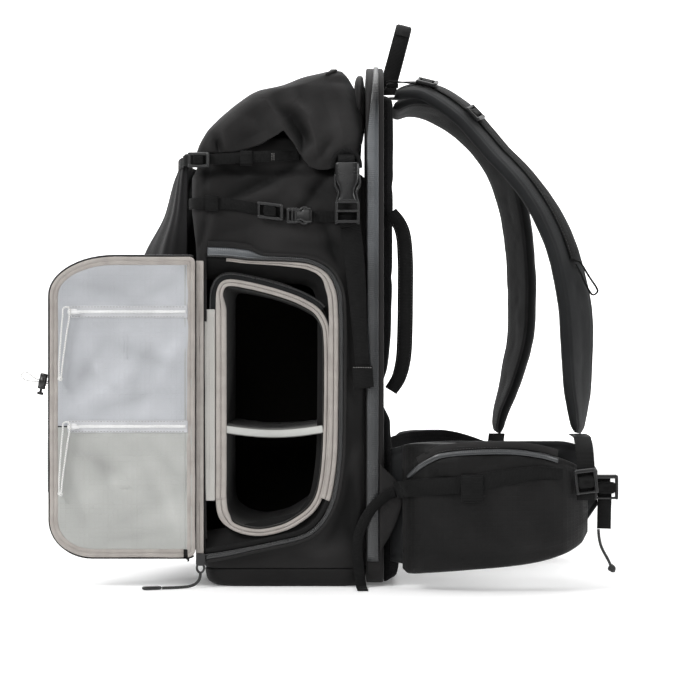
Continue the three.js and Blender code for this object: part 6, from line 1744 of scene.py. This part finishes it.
def acrossRings(x, inY, outY, low, high, steps, square):
    # Rings of a superellipse across the wing's run
    a = (np.arange(steps) + 0.5) / steps * 2 * np.pi
    up, out = power(np.sin(a), square), power(np.cos(a), square)
    y = ((inY + outY) / 2)[:, None] + out[None] * ((inY - outY) / 2)[:, None]
    z = ((low + high) / 2)[:, None] + up[None] * ((high - low) / 2)[:, None]
    return np.stack([np.broadcast_to(x[:, None], y.shape), y, z], -1)


def hipWing(side):
    # Superellipse rings along the wing, with a pinched seam beside its rim
    share = np.linspace(0.03, 1, 90)
    x = hipSize["rootX"] + share * hipSize["reach"]
    y = wingMiddleY(x)
    half = hipSize["thick"] / 2
    low, high = wingRead("low", x) * beltTall(x, side), wingRead("high", x) * beltTall(x, side)
    grid = acrossRings(x, y + half, y - half, low, high, 56, 0.35)
    rim = np.minimum(grid[..., 2] - low[:, None], high[:, None] - grid[..., 2])
    pinch = 2.2 * np.exp(-((rim - 7) / 2.2) ** 2) + 0.7 * softNoise(grid, 24, 3)
    grid[..., 1] += np.sign(y[:, None] - grid[..., 1]) * np.clip(pinch, -0.6, 3)
    grid[..., 1] *= -side
    name = "Near" if side < 0 else "Far"
    piece = tube("hipWing" + name, grid, strapCloth if side < 0 else meshCloth, "pad_fabric")
    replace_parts(piece, "hip_wing_" + name.lower())


hipCreases = [  # x, z both ends, reach, depth, sharpness
    (128, 140, 176, 92, 9, 1.5, 0.4), (150, 118, 212, 60, 10, 1.3, 0.3), (118, 96, 146, 52, 9, 1.6, 0.4),
    (196, 130, 246, 88, 10, -1.2, 0.2), (226, 118, 262, 70, 9, 1.3, 0.3), (262, 128, 296, 84, 8, 1.5, 0.4),
    (276, 140, 300, 116, 6, 1.3, 0.4), (110, 44, 200, 38, 6, 1.5, 0.5), (200, 38, 290, 48, 6, 1.5, 0.5),
    (112, 130, 118, 60, 5, 1.6, 0.5), (166, 66, 226, 44, 8, -1.1, 0.2), (240, 66, 286, 60, 8, 1.0, 0.3),
]


def pocketInside(x):
    # Where the hip pocket's back lies: just outside the wing, allowing for its bend
    return np.minimum(np.minimum(wingMiddleY(x), wingMiddleY(x + 6)), wingMiddleY(x - 6)) - hipSize["thick"] / 2 - 1


def pocketRead(key, x):
    # The hip pocket's rows read at X
    return column(hipPocketRows, hipPocketNames, key, (x - hipSize["rootX"]) / hipSize["reach"])


def hipPocket(side):
    # Superellipse rings out to the bulge; creases, noise and the zip's groove press the outer part
    share = np.r_[np.linspace(0.085, 0.13, 12), np.linspace(0.136, 0.9, 110), np.linspace(0.905, 0.945, 10)]
    x = hipSize["rootX"] + share * hipSize["reach"]
    inY = pocketInside(x)
    outY = inY - hipSize["bulge"] * pocketRead("bulge", x)
    low, high = pocketRead("low", x) * beltTall(x, side), pocketRead("high", x) * beltTall(x, side)
    grid = acrossRings(x, inY, outY, low, high, 90, 0.45)
    x3, z3 = grid[..., 0], grid[..., 2]
    depth = (inY[:, None] - grid[..., 1]) / np.maximum(inY - outY, 1)[:, None]
    outer = easing(depth, 0.55, 0.95)
    zipZ = np.interp(x3, [112, 130, 152, 185, 225, 254, 300], [123, 140, 146, 149, 149, 145, 130])
    fromZip = z3 - zipZ
    flap = -1.6 * easing(fromZip, 3, 6) * (1 - easing(fromZip, 9, 22)) + 1.8 * np.exp(-(fromZip / 3.2) ** 2)
    press = folds(x3, z3, hipCreases) + 0.9 * softNoise(grid, 22, 5) + 0.45 * softNoise(grid, 10, 9)
    press += flap * (side < 0) + 0.9
    grid[..., 1] += press * outer
    name = "Near" if side < 0 else "Far"
    grid[..., 1] *= -side
    # painted shade in the creases and painted light where the cloth stands out, plus random mottle
    piece = tube("hipPocket" + name, grid, ripstopCloth, slot="ripstop_fabric",
                    tone=np.clip(-0.16 * press, -0.7, 0.5) + 0.25 * softNoise(grid, 48, 6))
    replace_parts(piece, "hip_pocket_" + name.lower())


for side in (-1, 1):
    hipWing(side)
    hipPocket(side)


def pocketFace(x, z, lift=0.3):
    # A place on the near pocket's outer face, found from its section's superellipse
    x = np.array([float(x)])
    inY = pocketInside(x)[0]
    low, high = pocketRead("low", x)[0] * hipSize["tall"], pocketRead("high", x)[0] * hipSize["tall"]
    outY = inY - hipSize["bulge"] * pocketRead("bulge", x)[0]
    up = np.clip(abs(z - (low + high) / 2) / ((high - low) / 2), 0, 0.995)
    out = (1 - up ** (2 / 0.45)) ** (0.45 / 2)
    y = (inY + outY) / 2 - out * (inY - outY) / 2
    return (float(x[0]), float(y - lift), float(z))


def hipTrims():
    # Zip band, flap and stitches on the near pocket, and the strap over it with its keeper
    zipLine = [(114, 121), (124, 132), (138, 141), (152, 146), (185, 149), (225, 149), (254, 145), (272, 140)]
    rows = [(pocketFace(x, z, -1.4), (0, -1, 0.25)) for x, z in zipLine]
    webbing("hipZipBand", rows, 5.2, 1.9, 130, coatedZipper, "coated_zipper")
    rows = [(pocketFace(x, z + 7.2, -0.6), (0, -1, 0.45)) for x, z in zipLine[1:]]
    webbing("hipFlap", rows, 8.0, 1.8, 130, mainCloth, "ripstop_fabric")
    rows = [(pocketFace(x, z + 4.6, 1.2), (0, -1, 0.45)) for x, z in zipLine[1:]]
    stitches("hipFlapStitch", rows, threadFinish, 3.2, 2.2)
    heights = [0.56, 0.57, 0.585, 0.6, 0.635, 0.665, 0.66]
    rows = [((101.5, -150.5, 105.6), nearSide)]
    for i, (row, h) in enumerate(zip(hipPocketRows[:7], heights)):
        x = hipSize["rootX"] + row[0] * hipSize["reach"]
        y = pocketInside(np.array([x]))[0] - hipSize["bulge"] * row[3]
        rows.append(((x - (1 if i == 0 else 0), y - (5.4 if i < 2 else 0.5), h * hipSize["tall"]), nearSide))
    piece = webbing("hipStrapWeb", rows, 18, 1.7, 200, widths=[1, 1, 1, 1, 1, 0.9, 0.72, 0.62])
    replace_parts(piece, "hip_strap_near")
    keeper("hipKeeper", (180, rows[4][0][1] - 1.4, 111.2), 23, 25, (1, 0, 0.1), (0, 0, 1), 2.2)


hipTrims()


def foamPad(name, node, pad, rows):
    # Foam pad: the rows give its thickness over its height; a channel runs up its middle and its edges are round
    up = np.linspace(pad["from"], 1, pad["steps"])
    thick = column(rows, ["up", "thick"], "thick", up) * pad["thick"]
    half = pad["half"] * (1 - pad["ends"] * (1 - easing(up, 0, 0.02)) - pad["ends"] * easing(up, 0.985, 1))
    s = np.r_[np.linspace(-1, -0.9, 8), np.linspace(-0.88, 0.88, pad["across"]), np.linspace(0.9, 1, 8)]
    y = half[:, None] * s[None]
    z = pad["lowZ"] + pad["tall"] * up[:, None] + 0 * y
    edge = np.sqrt(np.clip((half[:, None] - np.abs(y)) / pad["edge"], 0, 1))
    channel = 1 - pad["channel"] * (1 - easing(np.abs(y), pad["channelFrom"], 24))
    seams = sum(np.exp(-((up[:, None] - at) / 0.02) ** 2) for at in (0.36, 0.68)) * easing(np.abs(y), 18, 30)
    out = hipSize["rootX"] + thick[:, None] * edge * channel * (1 - pad["seams"] * seams)
    front = np.stack([out, y, z], -1)
    front[..., 0] += (0.5 * softNoise(front, *pad["noise"]) - 0.4) * edge
    back = np.stack([np.full_like(y, hipSize["rootX"]), y, z], -1)[:, ::-1][:, 1:-1]
    piece = tube(name, np.concatenate([front, back], 1), meshCloth, "pad_fabric")
    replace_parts(piece, node)


foamPad("backPadPiece", "back_pad", {"from": 0, "steps": 120, "thick": 11, "half": 112.0, "ends": 0.06, "across": 60,
                                     "lowZ": 226, "tall": 313, "edge": 5, "channel": 0.55, "channelFrom": 14,
                                     "seams": 0.1, "noise": (18, 3)},
        [(0, 0.1), (0.035, 0.4), (0.1, 0.62), (0.17, 0.78), (0.35, 0.88), (0.6, 0.95), (0.88, 1), (0.96, 0.98),
         (0.99, 0.8), (1, 0.3)])
foamPad("lumbarPadPiece", "lumbar_pad", {"from": 0.02, "steps": 90, "thick": 9, "half": 124.7, "ends": 0,
                                         "across": 50, "lowZ": 0, "tall": 192, "edge": 4, "channel": 0.3,
                                         "channelFrom": 12, "seams": 0, "noise": (16, 5)},
        [(0.02, 0.4), (0.06, 1.6), (0.14, 1.9), (0.3, 1.3), (0.75, 1), (0.93, 0.8), (1, 0.2)])


def finPanels():
    # Flat five-sided panels joining the belt to the bag, closed towards their middles
    outline = [(83.4, 38), (97.4, 62), (107.6, 92), (104.4, 112), (83.4, 134)]
    for side, name in ((-1, "near"), (1, "far")):
        p = smoothLine(outline, 26)
        middle = np.array([91.0, 86])
        grid = []
        for inset, y in ((0.5, 146.6), (0, 146.9), (0, 148.1), (0.03, 148.4), (0.3, 148.7), (0.7, 148.8)):
            q = p + (middle - p) * inset
            q = np.concatenate([q, [[83.4 + (91 - 83.4) * inset, 86.0]]])
            grid.append(np.stack([q[:, 0], np.full(len(q), side * y), q[:, 1]], 1))
        piece = tube("fin" + name.capitalize(), grid, mainCloth, slot="main_fabric")
        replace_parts(piece, "fin_panel_" + name)


finPanels()


def beltParts():
    # Belt end beyond the wing: a band across, a band down, and the ladder lock between them
    y = float(wingMiddleY(hipSize["rootX"] + 0.955 * hipSize["reach"])) - 6.0
    across = webbing("beltAcross", [((309.9, y, 109), nearSide), ((322, y, 109), nearSide),
                                    ((333.3, y, 109), nearSide)], 19, 1.6, 24)
    down = webbing("beltDown", [((327.3, y, 112), nearSide), ((327, y - 0.5, 96), nearSide),
                                ((326.6, y + 0.2, 80), nearSide), ((326.3, y, 64), nearSide)], 15, 1.6, 40)
    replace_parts(joined("beltWebbingPiece", [across, down]), "belt_webbing")
    middle = np.mean(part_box("belt_lock"), axis=0) / mm
    ladderLock("beltLock", middle, 26, 26, 5.0, (1, 0, 0), (0, 0, 1), "belt_lock")


def lowerWebbing():
    # Webbing from each strap's end: over the hip wing and down its outside; each row is Y, Z and the face's Y, Z
    end = strapStations(nearStrapRows, -1)[0][-1]
    x = end[0]
    wy = float(wingMiddleY(x))
    top, outside = 0.83 * hipSize["tall"], wy - 5.5
    rows = [(end[1] + 2, end[2] - 2.3, -0.1, 1), (end[1] - 14, end[2] - 2.5, -0.1, 1),
            (end[1] - 25, end[2] - 2.8, -0.1, 1), (wy + 2, top + 3.4, -0.1, 1), (wy - 8, top + 1.5, -0.5, 0.9),
            (outside - 20, top - 9, -0.9, 0.5), (outside - 31, top - 26, -1, 0.1), (outside - 32, top - 42, -1, 0),
            (outside - 32, top - 62, -1, 0)]
    piece = webbing("strapWebNear", [((x, y, z), (0, s, u)) for y, z, s, u in rows], 19, 1.6, 120)
    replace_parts(piece, "strap_webbing_near")
    ladderLock("strapLockNear", (x, outside - 36, top - 42), 24, 26, 4.8, (1, 0, 0.12), (-0.12, 0, 1),
               "strap_lock_near")
    end = strapStations(farStrapRows, 1)[0][-1]
    innerY = -float(wingMiddleY(end[0])) - 5.5
    rows = [((end[0], end[1] + 2, end[2] - 2.9), (0, 1, 0.6)), ((end[0], innerY - 22, end[2] - 20), (0, 1, 0.8)),
            ((end[0], innerY - 3.5, end[2] - 36), (0, 1, 0.4)), ((end[0], innerY - 2.5, end[2] - 62), (0, 1, 0))]
    piece = webbing("strapWebFar", rows, 19.5, 1.6, 80)
    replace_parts(piece, "strap_webbing_far")


beltParts()
lowerWebbing()
print("harness done")

# Floor and backdrop, sizes and the end
def stagePlane(name, place, turn, glow):
    # A plain white plane for the floor or behind the bag
    bpy.ops.mesh.primitive_plane_add(size=5 if turn == 0 else 16, location=place, rotation=(turn, 0, 0))
    plane = bpy.context.object
    plane.name = name
    finish = Finish(name + "Finish", (250, 250, 250), 0.95, Emission_Color=(1, 1, 1, 1), Emission_Strength=glow)
    plane.data.materials.append(finish.material)


stagePlane("floor", (0, 1.55, 0), 0, 0.12)
stagePlane("backdrop", (0, 3.4, 0), math.pi / 2, 0.9)
